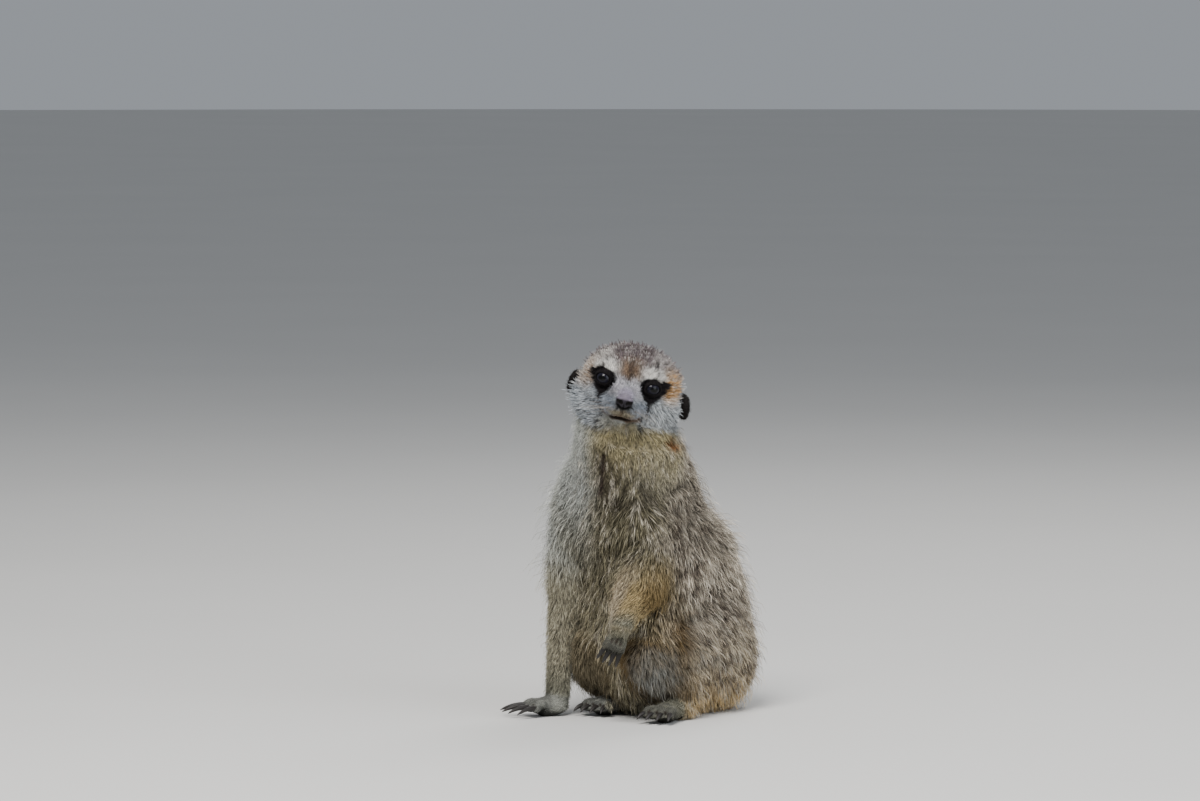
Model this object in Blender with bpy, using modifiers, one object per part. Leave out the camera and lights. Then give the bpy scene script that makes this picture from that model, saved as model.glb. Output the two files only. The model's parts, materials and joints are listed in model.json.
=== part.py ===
"""A meerkat sitting upright on the floor, life-size.

The right forefoot is planted, the left forearm is held up with the hand hanging, and the head is
turned to its left and tilted.  The whole body is one clay, which thin cuts part into its named
pieces.  Eyes, nose and claws are pieces of their own, each in a socket.

Metres, +Z up.  The hips face -Y, and the animal's left is +X.
"""

import math
from collections import namedtuple

import bmesh
import bpy
from mathutils import Matrix, Vector

MM = 0.001

# Driving dimensions, in millimetres.
CUT = 0.3  # width of a cut between two pieces, and of the gap round a set-in piece
VOXEL = 1.3  # grid of the clay
FLOOR_SINK = 1.2  # how far a resting mass reaches under the floor before it is cut flat
CHEST = (0.0, -24.0, 128.0)
HEAD = (4.5, -31.0, 201.0)
HEAD_TURN = 38.0  # degrees to its left of the hips
HEAD_TILT = 13.0  # degrees, left side down
HEAD_NOD = 1.0  # degrees, nose down
EYE_RADIUS = 5.3
EYE = (14.3, -17.6, 3.0)  # left eye in the head's own frame
NOSE = (0.0, -38.6, -6.6)  # in the head's own frame
NOSE_RADII = (4.6, 3.6, 3.4)
EAR = (33.0, 10.0, -6.5)  # left ear in the head's own frame
EAR_RADII = (4.0, 7.6, 9.6)
TRIANGLES = 2600  # of the whole clay before it is cut

SIDES = {"l": 1.0, "r": -1.0}


def clear_scene():
    for obj in list(bpy.data.objects):
        bpy.data.objects.remove(obj)


def collection(name, hidden=False):
    made = bpy.data.collections.new(name)
    bpy.context.scene.collection.children.link(made)
    made.hide_render = hidden
    return made


def material(name, colour, roughness):
    made = bpy.data.materials.new(name)
    made.use_nodes = True
    shader = made.node_tree.nodes["Principled BSDF"]
    shader.inputs["Base Color"].default_value = (*colour, 1.0)
    shader.inputs["Roughness"].default_value = roughness
    shader.inputs["Metallic"].default_value = 0.0
    return made


def evaluated_mesh(obj):
    """The mesh of an object with its modifiers, in world space."""
    graph = bpy.context.evaluated_depsgraph_get()
    mesh = bpy.data.meshes.new_from_object(obj.evaluated_get(graph))
    mesh.transform(obj.matrix_world)
    return mesh


def mesh_object(name, mesh, folder):
    made = bpy.data.objects.new(name, mesh)
    folder.objects.link(made)
    return made


def through_stations(stations, steps=5):
    """Points and radii along a smooth curve through stations of (x, y, z, radius)."""
    ends = [Vector(s) for s in stations]
    ends = [2 * ends[0] - ends[1], *ends, 2 * ends[-1] - ends[-2]]
    line = []
    for a, b, c, d in zip(ends, ends[1:], ends[2:], ends[3:]):
        for step in range(steps):
            t = step / steps
            bend, twist = 2 * a - 5 * b + 4 * c - d, 3 * b - a - 3 * c + d
            line.append(0.5 * (2 * b + (c - a) * t + bend * t**2 + twist * t**3))
    return [*line, ends[-2]]


class Clay:
    """A heap of overlapping balls and limbs, in millimetres, placed by a frame."""

    def __init__(self):
        self.bm = bmesh.new()

    def ball(self, centre, radii, turn=(0.0, 0.0, 0.0), frame=Matrix.Identity(4)):
        x, y, z = (math.radians(angle) for angle in turn)
        turned = Matrix.Rotation(z, 4, "Z") @ Matrix.Rotation(y, 4, "Y") @ Matrix.Rotation(x, 4, "X")
        place = frame @ Matrix.Translation(centre) @ turned @ Matrix.Diagonal((*radii, 1.0))
        bmesh.ops.create_uvsphere(
            self.bm, u_segments=28, v_segments=16, radius=1.0, matrix=Matrix.Scale(MM, 4) @ place
        )

    def limb(self, stations, frame=Matrix.Identity(4)):
        """A round limb through stations of (x, y, z, radius), with round ends."""
        line = through_stations([(*(frame @ Vector(s[:3])), s[3]) for s in stations])
        self.bm.from_mesh(tube(line))
        for end in (line[0], line[-1]):
            self.ball(end[:3], (end[3] * 0.98,) * 3)


def tube(line, sides=6):
    """The mesh of a curve bevelled along points of (x, y, z, radius) in millimetres."""
    data = bpy.data.curves.new("tube", "CURVE")
    data.dimensions = "3D"
    data.bevel_depth = MM
    data.bevel_resolution = sides
    data.use_fill_caps = True
    spline = data.splines.new("POLY")
    spline.points.add(len(line) - 1)
    for point, (x, y, z, radius) in zip(spline.points, line):
        point.co = (x * MM, y * MM, z * MM, 1.0)
        point.radius = radius
    obj = bpy.data.objects.new("tube", data)
    bpy.context.scene.collection.objects.link(obj)
    bpy.context.view_layer.update()
    mesh = evaluated_mesh(obj)
    bpy.data.objects.remove(obj)
    bm = bmesh.new()
    bm.from_mesh(mesh)
    bmesh.ops.remove_doubles(bm, verts=bm.verts, dist=1e-6)
    bmesh.ops.recalc_face_normals(bm, faces=bm.faces)
    bm.to_mesh(mesh)
    bm.free()
    return mesh


def head_frame():
    turn = Matrix.Rotation(math.radians(HEAD_TURN), 4, "Z")
    tilt = Matrix.Rotation(math.radians(HEAD_TILT), 4, "Y")
    nod = Matrix.Rotation(math.radians(HEAD_NOD), 4, "X")
    return Matrix.Translation(HEAD) @ turn @ tilt @ nod


def shape_head(clay):
    frame = head_frame()

    def ball(centre, radii, turn=(0.0, 0.0, 0.0)):
        clay.ball(centre, radii, turn, frame)

    ball((0, 7, 4), (30.5, 28, 23.5))  # cranium
    ball((0, 22, -6), (28, 22, 24))  # nape
    ball((0, -9, 6), (21, 17, 15.5), (-10, 0, 0))  # forehead
    ball((0, -3, -12), (27, 21, 14.5))  # jaw
    ball((0, -15, -11), (17, 15, 10.5))  # root of the muzzle
    clay.limb([(0, -8, -3, 17), (0, -19, -4.5, 12.2), (0, -28, -6.4, 8.8), (0, -35.5, -7.6, 6.2)], frame)
    clay.limb([(0, -6, -16, 12), (0, -18, -17.5, 8.5), (0, -27.5, -17.6, 4.8)], frame)
    for side in SIDES.values():
        ball((side * 18.5, 0, -10), (15.5, 17, 15.5), (0, 0, side * 20))  # cheek
        ball((side * 13.5, -13.5, 10.5), (9.5, 7, 4.6), (0, side * 14, side * 8))  # brow
        ball((side * 15.5, -16, -6), (7.5, 6, 4.5), (0, side * -10, side * 24))  # cheek bone
        ball((side * 5.6, -27.5, -12.5), (6, 9, 5.2))  # whisker pad
        ball((side * EAR[0], *EAR[1:]), EAR_RADII, (8, side * -10, side * 26))


def shape_trunk(clay):
    clay.ball((0, 28, 48), (45.5, 47, 50))  # rump
    clay.ball((0, 26, 66), (44, 45, 46))  # small of the back
    clay.ball((0, 18, 84), (43, 43, 50), (-18, 0, 4))  # loin
    clay.ball((1, 8, 100), (42, 43, 48), (-20, 0, 8))  # back
    clay.ball((0, -12, 60), (37, 37, 60))  # belly
    clay.ball((2, 0, 108), (42.5, 43, 48), (-22, 0, 12))  # ribs
    clay.ball((2, -15, 88), (38, 36, 42))  # foot of the chest
    clay.ball((22, -10, 90), (22, 30, 36))  # flank
    clay.ball((24, -20, 60), (20, 26, 32))  # groin
    clay.ball(CHEST, (39, 34, 46), (-8, 0, 18))
    clay.limb([(-1, -8, 122, 42), (-2, -19, 148, 40), (1, -26, 168, 36), (3, -28, 188, 31)])  # neck
    clay.ball((0, 31, 29), (44, 43, 33))  # seat


STANDING_WRIST = [(-36, -45, 36, 8.4), (-36, -47, 14, 7.2)]


def shape_arms(clay):
    """The right arm stands on the floor, and the left one is held out in front."""
    clay.limb([(-26, -27, 132, 23), (-34, -37, 106, 15.5), (-36, -42, 74, 11.4), *STANDING_WRIST])
    clay.limb([(28, -16, 128, 20), (32, -28, 104, 16.5), (33, -44, 80, 13.2)])
    clay.limb([(33, -44, 80, 13.2), (32, -59, 70, 10.8), (31, -70, 58, 7.2)])


def shape_leg(clay, knee, heel):
    """A folded hind leg: the thigh lies along the flank, and the shank comes back under it."""
    side = math.copysign(1.0, knee[0])
    clay.ball((side * 27, 4, 44), (21, 50, 38), (8, 0, side * 3))  # thigh
    clay.ball((side * 24, 24, 34), (24, 44, 38))  # buttock
    halfway = 0.5 * (Vector(knee) + Vector(heel))
    clay.limb([(side * 28, -24, 46, 22), (*knee, 14.5), (*halfway, 12.5), (*heel, 11.0)])


TAIL = [  # where it lies on the floor: x, y, radius
    (-8, 79, 12.6), (-24, 99, 10.8), (-47, 115, 9.6), (-74, 123, 8.4), (-102, 121, 7.0), (-126, 108, 5.4),
]  # fmt: skip


def shape_tail(clay):
    clay.limb([(0, 54, 26, 19), *((x, y, radius - FLOOR_SINK, radius) for x, y, radius in TAIL)])


def paw_frame(wrist, forward, back_of_hand):
    """A frame at the wrist: -Y along the fingers, +Z out of the back of the hand."""
    y = -Vector(forward).normalized()
    x = y.cross(Vector(back_of_hand)).normalized()
    z = x.cross(y)
    frame = Matrix((x, y, z)).transposed().to_4x4()
    frame.translation = wrist
    return frame


Paw = namedtuple("Paw", "wrist forward back palm toe claw spread")  # spread in degrees from toe to toe
PAWS = {
    "forefoot_r": Paw((-36, -48, 6.0), (-0.5, -0.87, 0), (0, 0, 1), (9.5, 13, 7), 12.5, 13.5, 13),
    "forefoot_l": Paw((31, -71, 57), (-0.59, 0.11, -0.9), (0.6, -0.8, 0), (7.6, 9.5, 5.8), 8.5, 11.0, 6),
    "hindfoot_l": Paw((37, -30, 6.0), (0.2, -1, 0), (0, 0, 1), (9, 14, 7), 12.0, 8.5, 11),
    "hindfoot_r": Paw((-15, -21, 6.0), (0.02, -1, 0), (0, 0, 1), (8.5, 14, 7), 12.0, 8.5, 11),
}
KNEES = {"l": (26.0, -43.0, 37.0), "r": (-22.0, -38.0, 36.0)}
HEELS = {"l": (34.0, -12.0, 11.0), "r": (-20.0, -6.0, 11.0)}


def toe_lines(paw):
    """For each toe, its stations and those of its claw, in the paw's frame."""
    width, length, _ = paw.palm
    for number in range(4):
        angle = math.radians((number - 1.5) * paw.spread)
        way = Vector((math.sin(angle), -math.cos(angle), 0))
        root = Vector(((number - 1.5) * width * 0.42, -length * 0.62, 0.6))
        reach = paw.toe * (1.0 - 0.09 * abs(number - 1.5))
        tip = root + way * reach
        knuckle, end = root + way * reach * 0.5 + Vector((0, 0, 1.4)), tip + Vector((0, 0, -1.4))
        claw = []
        for t in (0, 0.35, 0.7, 1.0):
            along = tip + way * (paw.claw * t - 1.5)
            claw.append((*(along + Vector((0, 0, -1.0 + 1.2 * t - 4.0 * t * t))), 1.5 - 1.05 * t))
        yield [(*root, 3.6), (*knuckle, 3.5), (*end, 3.0)], claw


def shape_paw(clay, paw):
    frame = paw_frame(paw.wrist, paw.forward, paw.back)
    clay.ball((0, -paw.palm[1] * 0.35, 0), paw.palm, frame=frame)
    for toe, _ in toe_lines(paw):
        clay.limb(toe, frame)


def fineness(point):
    """0 on the broad body and 1 on the face and paws, for a point in millimetres."""
    centres = [(head_frame() @ Vector((0, -14, -2)), 42.0)]
    for paw in PAWS.values():
        centres.append((Vector(paw.wrist) + Vector(paw.forward).normalized() * 12, 30.0))
    near = max(1.0 - (Vector(point) - centre).length / reach for centre, reach in centres)
    return min(1.0, max(0.0, 2.5 * near))


def weighed(obj, name, weight):
    """A vertex group of the object whose weights come from a function of the place in millimetres."""
    group = obj.vertex_groups.new(name=name)
    for vertex in obj.data.vertices:
        group.add([vertex.index], weight(vertex.co / MM), "REPLACE")
    return group.name


def with_modifiers(obj, folder):
    """The object as its modifiers leave it, under the same name."""
    name = obj.name
    mesh = evaluated_mesh(obj)
    bpy.data.objects.remove(obj)
    return mesh_object(name, mesh, folder)


def smoothed(obj, factor, rounds, group=""):
    modifier = obj.modifiers.new("smooth", "SMOOTH")
    modifier.factor = factor
    modifier.iterations = rounds
    modifier.vertex_group = group


def whole_body(folder):
    clay = Clay()
    shape_trunk(clay)
    shape_head(clay)
    shape_arms(clay)
    for side in SIDES:
        shape_leg(clay, KNEES[side], HEELS[side])
    shape_tail(clay)
    for paw in PAWS.values():
        shape_paw(clay, paw)
    mesh = bpy.data.meshes.new("body")
    clay.bm.to_mesh(mesh)
    body = mesh_object("body", mesh, folder)
    remesh = body.modifiers.new("fuse", "REMESH")
    remesh.mode = "VOXEL"
    remesh.voxel_size = VOXEL * MM
    body = with_modifiers(body, folder)
    broad = weighed(body, "broad", lambda place: 1.0 - fineness(place))
    smoothed(body, 0.5, 5)
    smoothed(body, 0.6, 40, broad)
    body = with_modifiers(body, folder)
    thin = body.modifiers.new("thin out", "DECIMATE")
    thin.ratio = TRIANGLES / (2 * len(body.data.polygons))
    body = with_modifiers(body, folder)
    cut_at_floor(body.data)
    return body


def cut_at_floor(mesh):
    """Cuts off what reaches under the floor, and closes it with a flat."""
    bm = bmesh.new()
    bm.from_mesh(mesh)
    everything = [*bm.verts, *bm.edges, *bm.faces]
    floor = {"plane_co": (0, 0, 0), "plane_no": (0, 0, -1)}
    cut = bmesh.ops.bisect_plane(bm, geom=everything, clear_outer=True, **floor)
    rim = [item for item in cut["geom_cut"] if isinstance(item, bmesh.types.BMEdge)]
    bmesh.ops.holes_fill(bm, edges=rim)
    bmesh.ops.triangulate(bm, faces=bm.faces)
    bm.to_mesh(mesh)
    bm.free()


# Small solids.  Each takes the width it is grown by, so that the same solid also makes its socket.


def ellipsoid(centre, radii, grown=0.0, frame=Matrix.Identity(4), segments=12, rings=8):
    bm = bmesh.new()
    place = Matrix.Scale(MM, 4) @ frame @ Matrix.Translation(centre)
    wide = Matrix.Diagonal((*(radius + grown for radius in radii), 1.0))
    bmesh.ops.create_uvsphere(bm, u_segments=segments, v_segments=rings, radius=1.0, matrix=place @ wide)
    mesh = bpy.data.meshes.new("ellipsoid")
    bm.to_mesh(mesh)
    bm.free()
    return mesh


def slab(size, frame, grown=0.0):
    """A box whose bottom face is centred on the frame's origin."""
    width, depth, height = (length + 2 * grown for length in size)
    bm = bmesh.new()
    place = Matrix.Scale(MM, 4) @ frame @ Matrix.Translation((0, 0, size[2] / 2))
    bmesh.ops.create_cube(bm, size=1.0, matrix=place @ Matrix.Diagonal((width, depth, height, 1.0)))
    mesh = bpy.data.meshes.new("slab")
    bm.to_mesh(mesh)
    bm.free()
    return mesh


def sleeve(stations, grown=0.0, sides=1, steps=1):
    """A closed tube through stations of (x, y, z, radius)."""
    ends = [Vector(s[:3]) for s in stations]
    line = through_stations([(*s[:3], s[3] + grown) for s in stations], steps)
    for end, beside in ((0, 1), (-1, -2)):
        past = line[end].xyz + (ends[end] - ends[beside]).normalized() * grown
        line[end] = Vector((*past, line[end].w))
    return tube(line, sides)


def facing(point, normal):
    """A frame at a point with +Z along the normal."""
    frame = Vector(normal).to_track_quat("Z", "Y").to_matrix().to_4x4()
    frame.translation = point
    return frame


def claw_stations(name):
    paw = PAWS[name]
    frame = paw_frame(paw.wrist, paw.forward, paw.back)
    for _, claw in toe_lines(paw):
        yield [(*(frame @ Vector(s[:3])), s[3]) for s in claw]


def boolean(obj, mesh, operation, folder):
    other = mesh_object("other", mesh, folder)
    modifier = obj.modifiers.new(operation.lower(), "BOOLEAN")
    modifier.operation = operation
    modifier.object = other
    made = with_modifiers(obj, folder)
    bpy.data.objects.remove(other)
    return made


def largest_part(obj):
    """Keeps the largest of the loose parts of an object."""
    bm = bmesh.new()
    bm.from_mesh(obj.data)
    bm.verts.ensure_lookup_table()
    left, best = set(bm.verts), []
    while left:
        loose, front = set(), [next(iter(left))]
        while front:
            vertex = front.pop()
            if vertex in loose:
                continue
            loose.add(vertex)
            front += [edge.other_vert(vertex) for edge in vertex.link_edges]
        left -= loose
        best = max(best, loose, key=len)
    bmesh.ops.delete(bm, geom=[v for v in bm.verts if v not in best], context="VERTS")
    bmesh.ops.triangulate(bm, faces=bm.faces)
    bm.to_mesh(obj.data)
    bm.free()


def copied(obj, name, folder):
    return mesh_object(name, obj.data.copy(), folder)


def parted(pieces, source, name, territory, folder):
    """Parts off a new piece: what of the source lies in a territory, with a thin cut round it."""
    piece = boolean(copied(pieces[source], name, folder), territory(), "INTERSECT", folder)
    rest = boolean(pieces[source], territory(grown=CUT), "DIFFERENCE", folder)
    largest_part(piece)
    largest_part(rest)
    rest.name, piece.name = source, name
    pieces[source], pieces[name] = rest, piece


def set_in(pieces, source, name, solid, folder):
    """Sets a solid into a piece, in a socket with a thin gap."""
    pieces[name] = mesh_object(name, solid(), folder)
    pieces[source] = boolean(pieces[source], solid(grown=CUT), "DIFFERENCE", folder)
    pieces[source].name = source


def part_into_pieces(body, folder):
    """The named pieces.  What is left of the body after the cuts is the trunk."""
    pieces = {"trunk": body}
    frame = head_frame()

    def cut(source, name, solid, *sizes):
        parted(pieces, source, name, lambda grown=0.0: solid(*sizes, grown), folder)

    def inset(source, name, solid, *sizes, **more):
        set_in(pieces, source, name, lambda grown=0.0: solid(*sizes, grown=grown, **more), folder)

    for name in PAWS:
        for number, stations in enumerate(claw_stations(name)):
            inset("trunk", f"claw_{name}_{number + 1}", sleeve, stations)
    cut("trunk", "head", slab, (120, 120, 80), frame @ facing((0, 8, -19), (0, -0.356, 0.934)))
    cut("trunk", "neck", slab, (120, 120, 60), facing((0, -22, 146), (0.02, -0.25, 1)))
    for side, sign in SIDES.items():
        inset("head", f"eye_{side}", ellipsoid, (sign * EYE[0], *EYE[1:]), (EYE_RADIUS,) * 3, frame=frame)
        away = (sign * (EAR[0] + 4.0), EAR[1] + 0.5, EAR[2])
        cut("head", f"ear_{side}", lambda grown, at=away: ellipsoid(at, (7, 10, 12), grown, frame))
    inset("head", "nose", ellipsoid, NOSE, NOSE_RADII, frame=frame)
    cut("trunk", "tail_root", slab, (240, 140, 40), Matrix.Translation((-30, 147, -6)))
    cut("tail_root", "tail_middle", slab, (120, 120, 90), facing((-38, 110, 9), (-0.85, 0.5, 0)))
    cut("tail_middle", "tail_tip", slab, (120, 120, 90), facing((-88, 123, 8), (-1, 0, 0)))
    for side, stations in ARM_SLEEVES.items():
        cut("trunk", f"upper_arm_{side}", sleeve, stations)
        cut(f"upper_arm_{side}", f"forearm_{side}", slab, (90, 90, 120), facing(*ELBOWS[side]))
        cut(f"forearm_{side}", f"forefoot_{side}", slab, (90, 90, 60), facing(*WRISTS[side]))
    for side, sign in SIDES.items():
        cut("trunk", f"hindfoot_{side}", sleeve, FOOT_SLEEVES[side])
        cut("trunk", f"shank_{side}", sleeve, SHANK_SLEEVES[side])
        cut("trunk", f"thigh_{side}", lambda grown, x=sign * 44: ellipsoid((x, 8, 40), (23, 48, 44), grown))
    return pieces


ARM_SLEEVES = {
    "r": [
        (-42, -24, 142, 8), (-43, -27, 132, 19), (-40, -38, 104, 19), (-38, -43, 74, 16),
        (-38, -46, 40, 13), (-38, -49, 18, 13), (-40, -56, 4, 22), (-41, -58, -6, 30),
    ],
    "l": [
        (44, -8, 142, 8), (43, -14, 132, 18), (38, -30, 104, 18), (35, -46, 81, 17.5),
        (33, -62, 71, 15), (31, -74, 57, 13), (28, -72, 40, 14), (25, -70, 18, 14),
    ],
}  # fmt: skip
ELBOWS = {"r": ((-36, -41, 80), (0, 0, -1)), "l": ((33, -50, 77), (0, -1, -0.6))}
WRISTS = {"r": ((-36, -47, 14), (-0.1, -0.2, -1)), "l": ((31, -69, 60), (-0.1, -0.3, -1))}
FOOT_SLEEVES = {
    "l": [(36, -22, 3, 15), (37, -31, 3, 15), (43, -62, 3, 15)],
    "r": [(-15, -13, 3, 12), (-15, -22, 3, 12), (-15, -56, 3, 12)],
}
SHANK_SLEEVES = {
    "l": [(25, -66, 40, 16), (26, -50, 38, 19), (31, -32, 22, 19), (34, -16, 10, 16)],
    "r": [(-20, -62, 40, 16), (-21, -46, 38, 19), (-20, -29, 22, 19), (-20, -12, 10, 16)],
}


MATERIALS = {  # colour and roughness
    "coat_back": ((0.34, 0.28, 0.21), 0.9),
    "coat_pale": ((0.55, 0.50, 0.41), 0.9),
    "coat_gold": ((0.45, 0.33, 0.18), 0.9),
    "ear_hair": ((0.03, 0.025, 0.022), 0.8),
    "eye": ((0.012, 0.009, 0.008), 0.08),
    "nose_skin": ((0.10, 0.075, 0.075), 0.45),
    "claw_horn": ((0.045, 0.04, 0.036), 0.35),
}
DRESS = {  # the first of these that a piece's name starts with says its material
    "claw": "claw_horn",
    "eye": "eye",
    "nose": "nose_skin",
    "ear": "ear_hair",
    "tail_tip": "ear_hair",
    "head": "coat_pale",
    "neck": "coat_pale",
    "forefoot": "coat_pale",
    "hindfoot": "coat_pale",
    "upper_arm": "coat_pale",
    "forearm": "coat_gold",
    "shank": "coat_pale",
    "thigh": "coat_gold",
    "tail": "coat_gold",
    "trunk": "coat_back",
}


def dress(pieces):
    made = {name: material(name, *look) for name, look in MATERIALS.items()}
    for name, piece in pieces.items():
        slot = next(slot for start, slot in DRESS.items() if name.startswith(start))
        piece.data.materials.clear()
        piece.data.materials.append(made[slot])


def centre_on_floor(pieces):
    """Moves every piece so that the middle of the whole outline is above the origin."""
    points = [vertex.co for piece in pieces.values() for vertex in piece.data.vertices]
    middle = [0.5 * (min(p[axis] for p in points) + max(p[axis] for p in points)) for axis in (0, 1)]
    floor = min(p.z for p in points)
    for piece in pieces.values():
        piece.data.transform(Matrix.Translation((-middle[0], -middle[1], -floor)))


def main():
    clear_scene()
    folder = collection("meerkat")
    pieces = part_into_pieces(whole_body(folder), folder)
    centre_on_floor(pieces)
    dress(pieces)


if __name__ == "__main__":
    main()
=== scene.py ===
"""The looks of a sitting meerkat: skin, coat, eyes, nose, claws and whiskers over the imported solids.

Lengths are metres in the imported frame.  Shapes are told in millimetres in two frames of their own:
BODY, whose hips face -Y and whose floor is z = 0, and HEAD, with the face towards -Y.
"""

import json
import math
from collections import namedtuple
from contextlib import contextmanager

import bmesh
import bpy
import numpy as np
from mathutils import Matrix, Vector
from mathutils.bvhtree import BVHTree

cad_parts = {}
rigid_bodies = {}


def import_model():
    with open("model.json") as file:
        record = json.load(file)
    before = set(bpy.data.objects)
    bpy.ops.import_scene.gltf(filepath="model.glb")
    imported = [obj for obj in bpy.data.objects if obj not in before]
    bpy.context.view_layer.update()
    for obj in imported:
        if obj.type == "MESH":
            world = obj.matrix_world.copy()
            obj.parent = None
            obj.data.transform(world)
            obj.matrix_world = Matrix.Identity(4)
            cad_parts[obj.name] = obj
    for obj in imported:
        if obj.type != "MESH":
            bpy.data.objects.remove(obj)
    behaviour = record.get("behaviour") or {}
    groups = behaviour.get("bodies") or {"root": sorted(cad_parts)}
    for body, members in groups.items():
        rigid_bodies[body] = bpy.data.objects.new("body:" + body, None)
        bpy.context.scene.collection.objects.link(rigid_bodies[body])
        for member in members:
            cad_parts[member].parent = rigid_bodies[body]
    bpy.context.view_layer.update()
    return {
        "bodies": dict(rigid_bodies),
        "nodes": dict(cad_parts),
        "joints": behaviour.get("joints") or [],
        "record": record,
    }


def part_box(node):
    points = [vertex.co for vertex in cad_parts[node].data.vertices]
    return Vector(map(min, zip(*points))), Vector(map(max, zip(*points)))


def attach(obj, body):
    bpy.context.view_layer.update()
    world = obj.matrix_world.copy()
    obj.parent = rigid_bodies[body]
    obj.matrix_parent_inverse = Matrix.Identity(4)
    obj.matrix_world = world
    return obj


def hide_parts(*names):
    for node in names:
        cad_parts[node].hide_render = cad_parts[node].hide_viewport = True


bl_info = {
    "name": "Sitting meerkat",
    "version": (1, 0, 0),
    "blender": (4, 5, 0),
    "location": "3D View > Sidebar > Meerkat",
    "description": "Builds the skin, coat and face of a sitting meerkat over its solids",
    "category": "Object",
}

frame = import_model()

MM = 0.001
SIDES = {"l": 1.0, "r": -1.0}
FLOOR_GAP = 0.25 * MM  # that tufts keep from the floor
EYE = Vector((14.3, -17.6, 3.0))  # left eye in the head's own frame
EYE_RADIUS = 5.3
NOSE = Vector((0.0, -38.6, -6.6))
HEAD_CENTRE = Vector((4.5, -31.0, 201.0))  # where the head's frame stands in the body's
GAZE = Vector((0.34, -0.94, 0.02))  # of the left eye


# Places


def middle(node):
    low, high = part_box(node)
    return (low + high) / 2


def between_eyes():
    return (middle("eye_l") + middle("eye_r")) / 2


def head_place():
    """The head's frame, from where its eyes and nose are."""
    left, right, nose = (middle(node) for node in ("eye_l", "eye_r", "nose"))
    x = (left - right).normalized()
    between = between_eyes()
    forward = nose - between
    forward = (forward - forward.dot(x) * x).normalized()
    across = x.cross(forward)
    dip = Vector((NOSE.y - EYE.y, NOSE.z - EYE.z)).normalized()
    y = dip.x * forward - dip.y * across
    z = dip.y * forward + dip.x * across
    turn = Matrix((x, y, z)).transposed().to_4x4()
    centre = between - turn @ (Vector((0.0, EYE.y, EYE.z)) * MM)
    return Matrix.Translation(centre) @ turn @ Matrix.Scale(MM, 4)


HEAD = head_place()
BODY = Matrix.Translation(HEAD.translation - HEAD_CENTRE * MM) @ Matrix.Scale(MM, 4)


def through(matrix, points):
    """Points, one a row, taken through a matrix."""
    m = np.array(matrix)
    return points @ m[:3, :3].T + m[:3, 3]


def in_body(points):
    """Points in the body's own millimetres."""
    return through(BODY.inverted(), points)


def in_head(points):
    """Points in the head's own millimetres."""
    return through(HEAD.inverted(), points)


def unit(vectors):
    """Vectors brought to a length of 1."""
    return vectors / np.maximum(np.linalg.norm(vectors, axis=-1, keepdims=True), 1e-12)


def step(low, high, values):
    """0 at low and 1 at high, with soft ends.  Low may be the greater."""
    t = np.clip((values - low) / (high - low), 0.0, 1.0)
    return t * t * (3.0 - 2.0 * t)


def within(points, centre, radii, soft=0.35):
    """1 in an ellipsoid, fading to 0 outside it."""
    reach = np.linalg.norm((points - np.array(centre)) / np.array(radii), axis=1)
    return step(1.0 + soft, 1.0 - soft, reach)


def ridge(distance, width=1.0):
    """1 along a line, fading smoothly to either side of it."""
    return np.exp(-((distance / width) ** 2))


def off_line(points, line):
    """Distance from a line through a few points."""
    nearest = np.full(len(points), np.inf)
    for a, b in zip(line, line[1:]):
        a, b = np.array(a, float), np.array(b, float)
        t = np.clip((points - a) @ (b - a) / ((b - a) @ (b - a)), 0.0, 1.0)
        nearest = np.minimum(nearest, np.linalg.norm(points - a - t[:, None] * (b - a), axis=1))
    return nearest


GRAINS = 32  # bumps along each side of the noise before it repeats


def grain(points, size, seed):
    """Smooth noise from 0 to 1, with bumps of a size."""
    table = np.random.default_rng(seed).random((GRAINS,) * 3)
    q = points / size + 1000.0
    base = np.floor(q).astype(int)
    f = q - base
    f = f * f * (3.0 - 2.0 * f)
    total = 0.0
    for corner in np.ndindex(2, 2, 2):
        weight = np.prod(np.where(corner, f, 1.0 - f), axis=1)
        x, y, z = ((base + corner) % GRAINS).T
        total = total + weight * table[x, y, z]
    return total


def wander(points, size, seed):
    """Smooth noise round 0, from -0.5 to 0.5."""
    return grain(points, size, seed) - 0.5


def ragged(points, reach, size, seed):
    """Points shifted a little by noise, so that what is measured from them has a ragged edge."""
    return points + reach * wander(points, size, seed)[:, None]


def mirrored(points):
    """Points with their left and right sides folded together."""
    return np.abs(points * (1, 0, 0)) + points * (0, 1, 1)


# Meshes


def read(items, name, width, kind=np.float32):
    """What a mesh's items say, a row to each item."""
    values = np.empty(len(items) * width, kind)
    items.foreach_get(name, values)
    return values.reshape(-1, width)


def write(items, name, values, kind=np.float32):
    items.foreach_set(name, np.asarray(values).astype(kind).ravel())


def mesh_of(name, points, triangles):
    """A mesh from points and triangles held in arrays."""
    mesh = bpy.data.meshes.new(name)
    mesh.vertices.add(len(points))
    write(mesh.vertices, "co", points)
    mesh.loops.add(3 * len(triangles))
    write(mesh.loops, "vertex_index", triangles, np.int32)
    mesh.polygons.add(len(triangles))
    write(mesh.polygons, "loop_start", np.arange(0, 3 * len(triangles), 3), np.int32)
    mesh.update(calc_edges=True)
    return mesh


def mesh_arrays(mesh):
    """The points of a mesh and the three corners of each of its triangles."""
    mesh.calc_loop_triangles()
    return read(mesh.vertices, "co", 3).astype(float), read(mesh.loop_triangles, "vertices", 3, np.int32)


@contextmanager
def editing(mesh):
    """A mesh opened for bmesh's tools and written back."""
    bm = bmesh.new()
    bm.from_mesh(mesh)
    yield bm
    bm.to_mesh(mesh)
    bm.free()


def shape(name, make, **settings):
    """A mesh made by one of bmesh's own shapes."""
    mesh = bpy.data.meshes.new(name)
    with editing(mesh) as bm:
        make(bm, **settings)
    return mesh


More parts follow.
